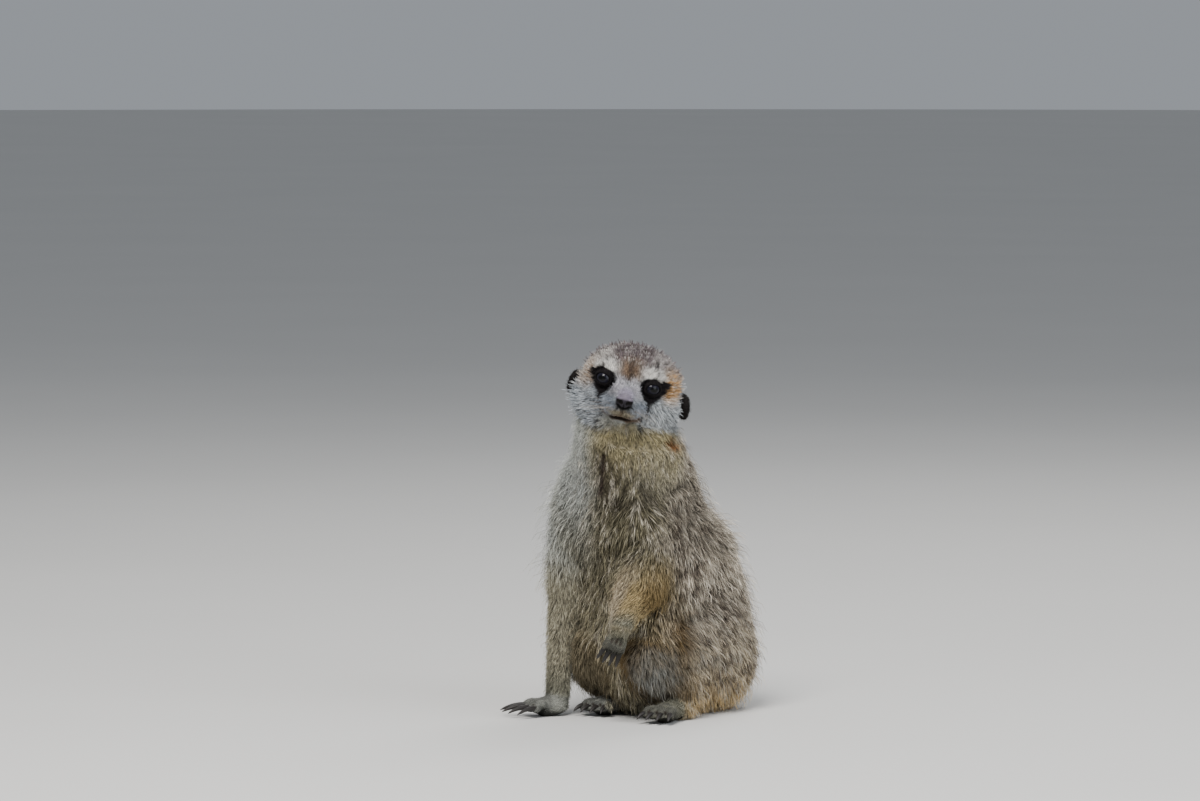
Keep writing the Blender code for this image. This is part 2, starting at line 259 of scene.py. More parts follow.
def turn_out(mesh):
    """Make every face of a closed mesh point outwards."""
    with editing(mesh) as bm:
        bmesh.ops.recalc_face_normals(bm, faces=bm.faces)


def carry(mesh, name, values):
    """Values on a mesh's points for its material to read."""
    write(mesh.attributes.new(name, "FLOAT_VECTOR", "POINT").data, "vector", values)


def piece(name, mesh):
    made = bpy.data.objects.new(name, mesh)
    bpy.context.scene.collection.objects.link(made)
    return made


def applied(obj):
    """The mesh of an object with its modifiers, in place of the object."""
    graph = bpy.context.evaluated_depsgraph_get()
    mesh = bpy.data.meshes.new_from_object(obj.evaluated_get(graph))
    bpy.data.objects.remove(obj)
    return mesh


def remeshed(mesh, voxel):
    """One closed skin round all that a mesh holds."""
    obj = piece("remesh", mesh)
    modifier = obj.modifiers.new("remesh", "REMESH")
    modifier.mode = "VOXEL"
    modifier.voxel_size = voxel * MM
    return applied(obj)


class Net:
    """The points and edges of a mesh, for smoothing what they carry."""

    def __init__(self, mesh):
        self.mesh = mesh
        self.points = read(mesh.vertices, "co", 3).astype(float)
        a, b = read(mesh.edges, "vertices", 2, np.int32).T
        self.tail, self.head = np.concatenate((a, b)), np.concatenate((b, a))
        self.degree = np.maximum(np.bincount(self.tail, minlength=len(self.points)), 1)

    def spread(self, values, rounds, share=0.5):
        """Values moved towards the mean of their neighbours'."""
        values = np.array(values, float)
        flat = values.reshape(len(self.points), -1)
        for _ in range(rounds):
            for column in range(flat.shape[1]):
                total = np.bincount(self.tail, flat[self.head, column], len(flat))
                flat[:, column] += share * (total / self.degree - flat[:, column])
        return flat.reshape(values.shape)

    def normals(self, rounds=0):
        return unit(self.spread(read(self.mesh.vertices, "normal", 3), rounds))

    def move(self, points):
        self.points = points
        write(self.mesh.vertices, "co", points)
        self.mesh.update()


# Clay


def curve_points(stations, steps=5):
    """Points along a smooth curve through stations."""
    ends = [Vector(s) for s in stations]
    ends = [2 * ends[0] - ends[1], *ends, 2 * ends[-1] - ends[-2]]
    line = []
    for a, b, c, d in zip(ends, ends[1:], ends[2:], ends[3:]):
        for number in range(steps):
            t = number / steps
            point = 2 * b + (c - a) * t
            point += (2 * a - 5 * b + 4 * c - d) * t**2
            point += (3 * b - a - 3 * c + d) * t**3
            line.append(0.5 * point)
    return [*line, ends[-2]]


BALL = mesh_arrays(shape("ball", bmesh.ops.create_icosphere, subdivisions=3, radius=1.0))


class Clay:
    """A heap of overlapping balls, limbs and solids."""

    def __init__(self):
        self.points, self.triangles, self.count = [], [], 0

    def add(self, points, triangles):
        self.points.append(points)
        self.triangles.append(triangles + self.count)
        self.count += len(points)

    def ball(self, place, centre, radii, turn=(0.0, 0.0, 0.0)):
        x, y, z = (math.radians(angle) for angle in turn)
        turned = Matrix.Rotation(z, 4, "Z") @ Matrix.Rotation(y, 4, "Y") @ Matrix.Rotation(x, 4, "X")
        whole = place @ Matrix.Translation(centre) @ turned @ Matrix.Diagonal((*radii, 1.0))
        self.add(through(whole, BALL[0]), BALL[1])

    def limb(self, place, stations):
        """A round limb through stations of (x, y, z, radius), as a row of balls."""
        line = curve_points(stations)
        for a, b in zip(line, line[1:]):
            gap = (b.xyz - a.xyz).length
            count = max(1, math.ceil(gap / (0.25 * min(a.w, b.w))))
            for number in range(count):
                at = a.lerp(b, number / count)
                self.ball(place, at.xyz, (at.w,) * 3)
        self.ball(place, line[-1].xyz, (line[-1].w,) * 3)

    def add_mesh(self, mesh):
        """A merged copy of a mesh."""
        copy = mesh.copy()
        with editing(copy) as bm:
            bmesh.ops.remove_doubles(bm, verts=bm.verts, dist=1e-6)
        self.add(*mesh_arrays(copy))
        bpy.data.meshes.remove(copy)

    def mesh(self, name):
        return mesh_of(name, np.concatenate(self.points), np.concatenate(self.triangles))


# The skin

INSET = {  # how far the skin lies inside each solid, which reaches to the tips of the coat
    "trunk": 4.4,
    "neck": 4.4,
    "thigh": 5.0,
    "shank": 3.0,
    "tail_root": 3.2,
    "tail_middle": 2.8,
    "tail_tip": 2.0,
}
MODELLED = ("upper_arm", "forearm", "head", "ear", "forefoot", "hindfoot")  # shaped anew, not drawn in
LIMBS = [  # x, y, z and radius of the bare limbs, in the body's millimetres
    [(-24, -25, 140, 20), (-31, -34, 112, 14), (-34, -41, 74, 9.4), (-36, -45, 36, 7.0), (-36, -47, 12, 6.6)],
    [(20, -17, 128, 17), (26, -29, 104, 15.5), (27, -45, 84, 13.2), (27, -58, 71, 9.4), (30, -69, 59, 5.6)],
    [(19, -4, 112, 21), (26, -12, 94, 20), (27, -20, 76, 17)],
    [(-12, -22, 98, 18), (-12, -23, 72, 20), (-10, -20, 48, 18)],
    [(33, -16, 24, 11), (34, -13, 10, 7.4), (36, -24, 7, 6.6), (37, -32, 6, 6.2)],
    [(-20, -10, 22, 9), (-20, -7, 9, 6.6), (-17, -16, 7, 6.4), (-15, -24, 6, 6.2)],
    [(-4, -14, 152, 30), (-2.5, -21, 168, 29.8), (-2, -25, 182, 27)],
]
BODY_VOXEL = 1.5
SKIN_VOXEL = 1.6
SMOOTHING = 4  # rounds over a freshly made surface
MUZZLE = Vector((0, -28, -12))
MIDFOOT = Vector((0, -14, 0))
SHOULDER = ((24, 20, 128), (24, 24, 15), 0.7)  # where the body is drawn in further, behind the raised arm
SHOULDER_INSET = 7.5
FLESH = sorted(node for node in frame["nodes"] if not node.startswith(("claw", "eye", "nose")))

TOES = 4  # to a paw
Paw = namedtuple("Paw", "wrist forward back palm toe claw spread")  # the last is degrees from toe to toe
PAWS = {
    "forefoot_r": Paw((-36, -48, 6), (-0.5, -0.87, 0), (0, 0, 1), (9.5, 13, 7), 12.5, 16.0, 13),
    "forefoot_l": Paw((31, -71, 57), (-0.59, 0.11, -0.9), (0.6, -0.8, 0), (5.9, 9.5, 5.2), 9.4, 13.6, 5),
    "hindfoot_l": Paw((37, -30, 6), (0.2, -1, 0), (0, 0, 1), (9, 14, 7), 12.0, 8.5, 11),
    "hindfoot_r": Paw((-15, -21, 6), (0.02, -1, 0), (0, 0, 1), (8.5, 14, 7), 12.0, 8.5, 11),
}


def paw_frame(paw):
    """A frame at the wrist: -Y along the fingers, +Z out of the back of the hand."""
    y = -Vector(paw.forward).normalized()
    x = y.cross(Vector(paw.back)).normalized()
    z = x.cross(y)
    frame = Matrix((x, y, z)).transposed().to_4x4()
    frame.translation = paw.wrist
    return BODY @ frame


def toes(paw):
    """For each toe: where its root is, which way it goes and how long it is, in the paw's frame."""
    width, length, _ = paw.palm
    for number in range(TOES):
        aside = number - (TOES - 1) / 2
        angle = math.radians(aside * paw.spread)
        way = Vector((math.sin(angle), -math.cos(angle), 0))
        yield Vector((aside * width * 0.42, -length * 0.62, 0.6)), way, paw.toe * (1.0 - 0.09 * abs(aside))


def shape_paw(clay, paw):
    """A palm with its pad, and four toes with knuckles and pads."""
    place = paw_frame(paw)
    width, length, depth = paw.palm
    clay.ball(place, (0, -length * 0.35, -0.2), (width - 0.9, length - 0.8, depth - 0.9))
    clay.ball(place, (0, -length * 0.55, -depth * 0.45), (width * 0.72, length * 0.5, depth * 0.5))
    for root, way, reach in toes(paw):
        tip = root + way * reach
        knuckle = root + way * reach * 0.55 + Vector((0, 0, 1.5))
        clay.limb(place, [(*root, 2.9), (*knuckle, 2.75), (*(tip + Vector((0, 0, -1.2))), 2.35)])
        clay.ball(place, root + way * reach * 0.45 + Vector((0, 0, 1.7)), (2.9, 3.2, 2.2))
        clay.ball(place, tip + way * -1.2 + Vector((0, 0, -2.2)), (2.7, 3.4, 1.9))


SKULL_TURN = -6.0  # degrees that the back of the head is turned from the face
SKULL_PIVOT = Vector((0, -18, 0))
SKULL = HEAD @ Matrix.Translation(SKULL_PIVOT) @ Matrix.Rotation(math.radians(SKULL_TURN), 4, "Z")
SKULL = SKULL @ Matrix.Translation(-SKULL_PIVOT)


SNOUT = [(0, -8, -3, 15.2), (0, -19, -4.6, 11), (0, -28, -6.8, 7.8), (0, -34.4, -8.2, 5.4)]


def shape_head(clay):
    clay.ball(SKULL, (0, 6, 2.9), (29.6, 26, 21.8))  # crown
    clay.ball(SKULL, (0, 21, -7), (25, 20, 22))  # nape
    clay.ball(SKULL, (0, -4, -23), (22, 17, 13))  # throat
    clay.ball(SKULL, (0, 3, -32), (26, 22, 15))
    clay.ball(HEAD, (0, -9, 5.4), (20, 16, 14.8), (-10, 0, 0))  # forehead
    clay.ball(SKULL, (0, -3, -12), (23.5, 19, 12.6))  # jaw
    clay.ball(HEAD, (0, -15, -10.5), (15.2, 14, 9.4))
    clay.limb(HEAD, SNOUT)
    clay.limb(HEAD, [(0, -6, -15.5, 11), (0, -18, -18, 7.6), (0, -26.6, -18.6, 4.6)])  # chin
    for side in SIDES.values():
        clay.ball(SKULL, (side * 17.4, 0, -9 + side), (14.8, 15.5, 13.2 - side), (0, 0, side * 20))  # cheek
        clay.ball(HEAD, (side * 13.4, -13.6, 10.0), (9.4, 7.0, 4.6), (0, side * 14, side * 8))  # brow
        clay.ball(HEAD, (side * 15.2, -15.2, -5.6), (7.4, 6, 4.4), (0, side * -10, side * 24))
        clay.ball(HEAD, (side * 5.3, -26.6, -12.6), (5.9, 8.8, 5.0))  # lip pad
        clay.ball(SKULL, (side * 34.2, 8.6, -5.4), (3.4, 7.6, 8.4), (8, side * -10, side * 34))  # ear


def inset_body():
    """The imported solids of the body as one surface, drawn in by the depth of the coat."""
    clay = Clay()
    for node in FLESH:
        if not node.startswith(MODELLED):
            clay.add_mesh(frame["nodes"][node].data)
    mesh = remeshed(clay.mesh("body"), BODY_VOXEL)
    net = Net(mesh)
    net.move(net.spread(net.points, 12))
    depths = np.array([depth_of(node) for node in FLESH])[nearest_nodes(net.points)]
    slim = within(in_body(net.points), *SHOULDER)
    depth = (net.spread(depths, 16) + SHOULDER_INSET * slim) * MM
    net.move(net.points - net.normals(6) * depth[:, None])
    net.move(net.spread(net.points, SMOOTHING))
    return mesh


def depth_of(node):
    """How far in millimetres the skin lies inside a solid."""
    return next((INSET[start] for start in INSET if node.startswith(start)), 3.0)


def nearest_nodes(points):
    """For each point, the number in FLESH of the solid that it is nearest to."""
    verts, faces, owner = [], [], []
    for number, node in enumerate(FLESH):
        mesh = frame["nodes"][node].data
        start = len(verts)
        verts += [v.co[:] for v in mesh.vertices]
        faces += [[start + index for index in face.vertices] for face in mesh.polygons]
        owner += [number] * len(mesh.polygons)
    tree = BVHTree.FromPolygons(verts, faces)
    return np.array([owner[tree.find_nearest(point)[2]] for point in points])


def whole_skin():
    """The animal's outline as one closed skin, before the face is carved."""
    clay = Clay()
    clay.add(*mesh_arrays(inset_body()))
    shape_head(clay)
    for limb in LIMBS:
        clay.limb(BODY, limb)
    for paw in PAWS.values():
        shape_paw(clay, paw)
    mesh = remeshed(clay.mesh("skin"), SKIN_VOXEL)
    net = Net(mesh)
    net.move(net.spread(net.points, SMOOTHING))
    face = [Vector((side * EYE.x, EYE.y - 2, EYE.z)) for side in SIDES.values()] + [MUZZLE]
    paws = [HEAD.inverted() @ (paw_frame(paw) @ MIDFOOT) for paw in PAWS.values()]
    refine(mesh, face + paws, 24.0)
    refine(mesh, face, 13.0)
    return mesh


def refine(mesh, marks, reach):
    """Finer faces within a reach of marks in the head's frame."""
    head = HEAD.inverted()
    with editing(mesh) as bm:
        gaps = {vert: min((head @ vert.co - mark).length for mark in marks) for vert in bm.verts}
        edges = [edge for edge in bm.edges if max(gaps[vert] for vert in edge.verts) < reach]
        bmesh.ops.subdivide_edges(bm, edges=edges, cuts=1, use_grid_fill=True, smooth=0.5)
        bmesh.ops.triangulate(bm, faces=[face for face in bm.faces if len(face.verts) > 4])


# The face

MOUTH = np.array([(0, -31.6, -17.2), (4, -30.2, -17.5), (8, -26.8, -17.6), (10.5, -23.5, -16.9)])
SQUEEZE = (1, 0.3, 1)  # makes depth count for less in a distance from the mouth or the crease
FAR = 9.0  # added to a distance to keep the other side of the animal out
LIP_PARTING = [(0, -37.5, -10.5), (0, -34.5, -14), (0, -31.6, -17.6)]
LID = 0.5  # thickness of the lids over the ball of the eye
LID_EDGE = 0.48  # how far past the ball they run round it
LID_TILT = 7  # degrees that the opening drops to its inner corner
CORNER = 4.6  # from the middle of an eye to a corner of its opening
UPPER_LID = 3.1
LOWER_LID = 2.7
EAR_HOLLOW = (36.6, 6.4, -5.4)
FACE_REACH = 60  # how far from the middle of the head it is carved
CLEFT = 2.3  # depth between the toes
CREASE_DEPTH = 2.6
CREASE_WIDTH = 3.0


def off_mouth(head):
    """Distance from the line of the mouth, told less in depth, in millimetres."""
    return np.minimum(*(off_line(head * SQUEEZE, MOUTH * SQUEEZE * (side, 1, 1)) for side in SIDES.values()))


def eye_axes(side):
    """Centre of an eye in the head, and the ways aside, up and out of the face there."""
    out = Vector((side * GAZE.x, GAZE.y, GAZE.z)).normalized()
    up = (Vector((0, 0, 1)) - out.z * out).normalized()
    return Vector((side * EYE.x, EYE.y, EYE.z)), up.cross(out) * side, up, out


def eye_places(points, side):
    """Points of the head told by an eye: aside, up and out of the face, in millimetres."""
    centre, *axes = eye_axes(side)
    return (points - np.array(centre)) @ np.array([axis[:] for axis in axes]).T


def opening(a, b):
    """1 on the rim of an eye's opening, less inside it and more outside."""
    cosine, sine = math.cos(math.radians(LID_TILT)), math.sin(math.radians(LID_TILT))
    a, b = a * cosine + b * sine, b * cosine - a * sine
    tall = np.where(b > 0, UPPER_LID, LOWER_LID)
    return np.sqrt((np.abs(a) / CORNER) ** 2 + (np.abs(b) / tall) ** 2)


def skull_places(head):
    """Places in the head's frame told in the skull's."""
    return through(SKULL.inverted() @ HEAD, head)


def sculpt_face(points, normals):
    """Head points with lids, mouth, lip parting, folds and ear hollows."""
    shaped = points.copy()
    for side in SIDES.values():
        a, b, c = eye_places(points, side).T
        rim = opening(a, b)
        flat = np.sqrt(a * a + b * b)
        ball = np.sqrt(np.maximum((EYE_RADIUS + LID) ** 2 - flat**2, 0.0))
        lid = np.where(flat < EYE_RADIUS + LID_EDGE, ball, -0.6 * (flat - EYE_RADIUS - LID_EDGE))
        behind = ball - 2.2
        target = np.where(rim < 1.0, behind + (lid - behind) * step(0.86, 1.0, rim), lid)
        hold = step(2.1, 1.2, rim) * (c > -2.0)
        shaped += ((target - c) * hold)[:, None] * np.array(eye_axes(side)[3])
        hollow = skull_places(points) - (side * EAR_HOLLOW[0], *EAR_HOLLOW[1:])
        shaped[:, 0] -= side * 2.4 * np.exp(-np.sum((hollow / (4.0, 4.6, 6.0)) ** 2, axis=1))
    mouth = off_mouth(points) + FAR * (points[:, 1] > -12)
    groove = 1.5 * ridge(mouth) - 0.55 * ridge(mouth - 1.7, 0.9)
    groove += 0.7 * ridge(off_line(points, LIP_PARTING), 0.6)
    shaped -= normals * groove[:, None]
    return shaped


def above_floor(points, height=0.0):
    """Points kept from sinking below a height."""
    points[:, 2] = np.maximum(points[:, 2], height)
    return points


def build_skin():
    """The skin as a piece, and the net of its points."""
    mesh = whole_skin()
    net = Net(mesh)
    head = in_head(net.points)
    turn = np.array(HEAD.inverted())[:3, :3]
    turn = turn / np.linalg.norm(turn[:, 0])
    shaped = sculpt_face(head, net.normals() @ turn.T)
    near = (np.linalg.norm(head, axis=1) < FACE_REACH)[:, None]
    points = above_floor(np.where(near, through(HEAD, shaped), net.points))
    crease = ridge(off_crease(in_body(points)), CREASE_WIDTH)
    points -= net.normals(2) * (CREASE_DEPTH * crease)[:, None] * MM
    for paw in PAWS.values():
        cleft = between_toes(through(paw_frame(paw).inverted(), net.points), paw)
        points -= net.normals() * cleft[:, None] * MM
    net.move(above_floor(points))
    mesh.shade_smooth()
    return piece("skin", mesh), net


def between_toes(points, paw):
    """How deep the clefts between the toes are, in millimetres."""
    depth = np.zeros(len(points))
    lines = [(root, root + way * reach) for root, way, reach in toes(paw)]
    for one, other in zip(lines, lines[1:]):
        start, end = ((a + b) / 2 for a, b in zip(one, other))
        gap = off_line(points, [start + Vector((0, 3, 2.6)), end + Vector((0, -1, 0.4))])
        depth = np.maximum(depth, CLEFT * ridge(gap, 1.2))
    return depth


# The lie, length and markings of the coat

COAT = {  # length and width in millimetres, how steeply a tuft stands, and tufts to the square millimetre
    "head": (4.6, 0.40, 0.38, 2.4),
    "ear": (1.7, 0.28, 0.45, 6.0),
    "neck": (5.6, 0.40, 0.36, 2.1),
    "trunk": (10.5, 0.52, 0.40, 1.0),
    "upper_arm": (8.5, 0.48, 0.38, 1.25),
    "forearm": (4.6, 0.40, 0.34, 2.0),
    "forefoot": (2.3, 0.32, 0.30, 4.5),
    "thigh": (8.5, 0.50, 0.36, 1.2),
    "shank": (8.0, 0.45, 0.40, 1.5),
    "hindfoot": (2.6, 0.32, 0.32, 4.5),
    "tail": (6.0, 0.46, 0.34, 1.3),
}
PARTS = list(COAT)
LIE = {  # the way the tufts of a part lie, in the body's frame, where it is much the same all over
    "neck": (0.0, 0.12, -1.0),
    "upper_arm": (0.05, -0.15, -1.0),
    "thigh": (0.05, 0.35, -1.0),
    "shank": (0.05, 0.1, -1.0),
}
MIDDLE = np.array([(25, 12), (60, 10), (100, 2), (140, -12), (170, -22)]).T  # height, and how far back it is
PALE_FRONT = np.array([(60, 40), (90, 45), (130, 52), (150, 80), (165, 105)]).T  # height, and half its angle
BAND = 12.5  # height from one dark band of the back to the next
WHORL = (25.6, -45.4, 128)
TAIL = [(0, 54), (-8, 79), (-24, 99), (-47, 115), (-74, 123), (-102, 121), (-126, 108)]
TAIL_HEIGHT = 8
CREASE_LINE = [(5, -15.0, 162), (3.5, -15.6, 152), (0.5, -15.9, 139)]  # its y is told in SQUEEZE


def part_of(node):
    """The number in PARTS of what a solid belongs to."""
    return next(number for number, part in enumerate(PARTS) if node.startswith(part))


class Hide:
    """What the skin carries at each of its points."""

    def __init__(self, net):
        self.net = net
        self.body, self.head = in_body(net.points), in_head(net.points)
        self.normals = net.normals(3)
        self.nodes = nearest_nodes(net.points)
        self.parts = np.array([part_of(node) for node in FLESH])[self.nodes]
        self.shares = net.spread(np.eye(len(PARTS))[self.parts], 14)
        table = self.shares @ np.array(list(COAT.values()))
        self.length, self.width, self.lift, self.density = table.T
        self.shorten_face()
        self.fit_body()
        self.lie = self.comb()
        self.bare = self.find_bare()

    def fit_body(self):
        """Shaggy tufts along the right outline, fine ones over the throat and the shortest on the toes."""
        x, _, z = self.body.T
        edge = step(-16, -34, x) * step(22, 60, z) * step(190, 170, z)
        self.lift *= 1 + 0.55 * edge
        self.length *= 1 + 0.12 * edge
        throat = within(self.body, (2, -52, 160), (40, 34, 42), 0.5)
        throat = throat * (self.share("trunk") + self.share("neck"))
        self.length *= 1 - 0.4 * throat
        self.density *= 1 + 0.75 * throat
        self.clumping = 1 - 0.8 * throat
        toe = toe_nearness(self.body) * step(0.2, 0.6, self.share("forefoot") + self.share("hindfoot"))
        self.length += toe * (1.3 - self.length)

    def share(self, part):
        return self.shares[:, PARTS.index(part)]

    def shorten_face(self):
        """Short fine tufts over the muzzle, brow and lids, and long ones on the cheeks."""
        head, skull = mirrored(self.head), mirrored(skull_places(self.head))
        lips = step(6.5, 3.0, off_mouth(self.head)) * step(-8, -16, self.head[:, 1])
        fields = [  # where, then what COAT tells
            (within(head, (20, 4, -13), (13, 17, 14)), (5.4, 0.36, 0.50, 3.4)),
            (within(head, (0, -11, 14), (27, 23, 14)), (2.6, 0.30, 0.34, 5.2)),
            (within(head, (14.3, -19, 3), (13, 11, 10)), (2.2, 0.28, 0.36, 6.5)),
            (within(head, (14.3, -20, 3), (8.4, 8, 6.6)), (1.4, 0.22, 0.45, 11.0)),
            (within(head, (0, -27, -5), (9, 14, 8)), (1.8, 0.27, 0.28, 8.0)),
            (within(head, (5, -29, -13), (10, 11, 8)), (2.3, 0.28, 0.34, 7.5)),
            (within(head, (0, -22, -20), (10, 12, 6)), (3.0, 0.30, 0.36, 5.5)),
            (within(skull, (34, 8, -5.6), (8, 12, 11.2)), (1.7, 0.30, 0.28, 6.5)),
            (lips, (1.0, 0.24, 0.16, 9.0)),
        ]
        on_head = step(0.2, 0.6, self.share("head") + self.share("ear"))
        for mask, values in fields:
            for column, value in zip((self.length, self.width, self.lift, self.density), values):
                column += mask * on_head * (value - column)

    def comb(self):
        """Which way the tufts lie, along the skin, with a whorl on the chest and a parting at its crease."""
        body, (x, y, z) = self.body, self.body.T
        level = 0 * x
        ways = dict(LIE)
        ways["head"] = ways["ear"] = self.from_nose() @ unit(np.array(HEAD)[:3, :3].T)
        flank = step(-30, 15, y - np.interp(z, *MIDDLE))[:, None]
        outward = np.stack((0.012 * x, level, level), axis=1)
        ways["trunk"] = (0.0, -0.05, -1.0) + flank * (0, 0.4, 0) + (1 - flank) * outward
        ways["forearm"] = np.stack((level - 0.1, -0.8 * (x > 0) - 0.05, -0.65 - 0.3 * (x < 0)), axis=1)
        toward = [PAWS[node].forward if node in PAWS else (0, 0, 0) for node in FLESH]
        ways["forefoot"] = ways["hindfoot"] = np.array(toward, float)[self.nodes]
        ways["tail"] = self.along_tail()
        table = np.stack([np.broadcast_to(ways[part], body.shape) for part in PARTS])
        lie = np.einsum("np,pnk->nk", self.shares, table)
        whorl = body - WHORL
        lie += 1.1 * np.exp(-np.sum(whorl**2, axis=1) / 150.0)[:, None] * unit(whorl)
        from_crease = x - np.interp(z, [135, 159], [0.5, 5.0])
        parting = ridge(from_crease, 7.0) * step(128, 138, z) * step(168, 160, z)
        lie[:, 0] += 0.8 * np.sign(from_crease) * parting * (y < 0)
        swirl = 0.55 * wander(body, 17.0, 5) + 0.35 * wander(body, 6.0, 6)
        lie = unit(self.net.spread(lie, 12))
        lie += np.cross(self.normals, lie) * swirl[:, None]
        return unit(lie - np.sum(lie * self.normals, axis=1)[:, None] * self.normals)

    def from_nose(self):
        """Ways back over the head from the nose, and away from the eyes near them."""
        away = unit(self.head - (0, -42, -4)) + (0, 0.25, -0.1)
        for side in SIDES.values():
            from_eye = self.head - (side * EYE.x, EYE.y - 3, EYE.z)
            near = np.exp(-np.sum(from_eye**2, axis=1) / 130.0)[:, None]
            away = away + 2.0 * near * unit(from_eye)
        return unit(away)

    def along_tail(self):
        """The way from the root of the tail to its tip."""
        line = np.array([(x, y, TAIL_HEIGHT) for x, y in TAIL], float)
        middles = (line[1:] + line[:-1]) / 2
        nearest = np.argmin(np.linalg.norm(self.body[:, None] - middles, axis=2), axis=1)
        return unit(line[1:] - line[:-1])[nearest]

    def find_bare(self):
        """1 where no tuft grows: the eyes, nose, lips and the soles."""
        bare = step(9.0, 6.0, np.linalg.norm(self.head - np.array(NOSE) - (0, -0.6, 1.0), axis=1) * 1.2)
        for side in SIDES.values():
            place = eye_places(self.head, side)
            bare = np.maximum(bare, (opening(place[:, 0], place[:, 1]) < 1.03) * (place[:, 2] > -3))
        bare = np.maximum(bare, step(1.35, 0.75, off_mouth(self.head)) * (self.head[:, 1] < -14))
        foot = self.share("forefoot") + self.share("hindfoot")
        return np.maximum(bare, foot * step(-0.35, -0.7, self.normals[:, 2]))


def off_crease(body):
    """Distance from the crease down the chest, in millimetres."""
    return off_line(body * SQUEEZE, CREASE_LINE) + FAR * (body[:, 1] > 0)


def over_paws(body, measure):
    """The most that a measure of the paws comes to at points of the body."""
    most = np.zeros(len(body))
    for paw in PAWS.values():
        place = through((BODY.inverted() @ paw_frame(paw)).inverted(), body)
        most = np.maximum(most, measure(place, paw))
    return most


def toe_nearness(body):
    """0 at the wrists and heels and 1 on the toes."""
    return over_paws(body, lambda place, paw: within(place, (0, -15, 0), (14, 13, 14), 0.4))


def blend_in(colour, mask, other):
    """A colour moved towards another where a mask is 1."""
    return colour + np.clip(mask, 0, 1)[:, None] * (np.array(other)[..., :3] - colour)


def painted(palette, colour, *layers):
    """A colour under layers of the palette's own, each laid where its mask is 1."""
    for name, mask in layers:
        colour = blend_in(colour, mask, getattr(palette, name))
    return colour


def ground(palette, name, points):
    return np.tile(np.array(getattr(palette, name))[:3], (len(points), 1))


def front_colour(body, drawn, fore, palette):
    """The throat, chest and belly."""
    x, _, z = body.T
    # painted shade over the chest below the throat, broken up by noise
    shade = within(body, (18, -45, 139), (19, 30, 10), 0.6) * step(0.15, 0.5, grain(body, 5.0, 27))
    below = step(176, 156, z) * step(-30, -8, x)
    return painted(
        palette,
        ground(palette, "chest", body),
        ("throat", step(138, 172, z + 12 * wander(body, 6.0, 41))),
        ("neck", step(84, 150, z) * step(196, 184, z) * step(5, -13, x) * fore * 0.92),
        ("belly", step(92, 52, z) * 0.6),
        # painted shade beside the top of the chest crease
        ("painted_shade", 0.45 * within(body, (6, -46, 157), (10, 22, 12), 0.6)),
        ("painted_shade", 0.9 * shade),
        # flecks of the painted shade's colour over the right of the chest
        ("painted_shade", 0.5 * below * step(84, 110, z) * step(0.50, 0.72, grain(drawn, 1.3, 26))),
        ("frost", 0.5 * below * step(0.56, 0.76, grain(drawn, 1.4, 25))),
    )


def leg_layers(body, drawn, fleck, fore, thigh, shank):
    """Brown thighs and silver shins, golden behind."""
    x, y, z = body.T
    forward = step(-12, -30, y + 8 * wander(body, 6.0, 44))
    shin = within(ragged(body, 9, 5.0, 28), (33, -43, 29), (12, 20, 18), 0.7)
    shin = shin * (0.7 + 0.3 * step(0.35, 0.65, grain(drawn, 1.3, 40)))
    return (
        ("thigh", thigh * step(84, 66, z) * forward * 0.85),
        ("thigh", 0.5 * within(ragged(body, 7, 7.0, 42), (40, -36, 57), (14, 15, 20), 0.6)),
        ("streak", thigh * fleck * 0.3),
        ("knee_and_shade", thigh * within(body, (30, -42, 34), (16, 14, 12))),
        ("thigh", shank * (0.35 + 0.65 * forward)),
        ("shin", (shank + thigh) * shin),
        # painted shade over the front of the right thigh, where the arm and belly hang over it
        ("knee_and_shade", (shank + thigh) * step(6, -6, x) * fore),
    )


def arm_layers(body, fore, arm):
    """A pale right arm, and a golden left forearm with painted brown shadow on its outer side and a pale
    inner edge.
    """
    x, y, z = body.T
    right = step(4, -10, x)
    golden = arm * (1 - right) * step(-26, -42, y) * step(108, 78, z)
    return (
        ("arm", arm * right * np.maximum(fore, step(100, 70, z))),
        ("neck", arm * right * step(80, 112, z) * fore * 0.85),
        ("wrist", arm * right * step(38, 16, z)),
        ("forearm", golden),
        ("wrist", golden * step(-56, -68, y) * step(74, 62, z)),
        # painted shadow, deep brown, on the raised forearm's outer side
        ("elbow_shadow", golden * step(31, 37, x + 0.25 * (y + 45)) * 0.7),
        ("flank", 0.6 * golden * step(-21, -29, x + 0.79 * y - 0.63 * (z - 71))),
    )


def paw_layers(body, feet):
    """Grey paws, darker on the toes, with painted shade in the clefts between them, and paler on the right.
    """
    x, _, z = body.T
    paws = feet * step(62, 52, z)
    dark = step(0.25, 0.6, grain(body, 2.2, 29)) * 0.35 + 0.35
    clefts = over_paws(body, lambda place, paw: between_toes(place, paw) / CLEFT)
    return (
        ("wrist", paws),
        ("neck", paws * (x < 0) * 0.5),
        ("paw", paws * step(0.35, 1.0, toe_nearness(body)) * dark),
        # painted shade in the clefts between the toes
        ("streak", 0.85 * paws * step(0.25, 0.8, clefts)),
    )


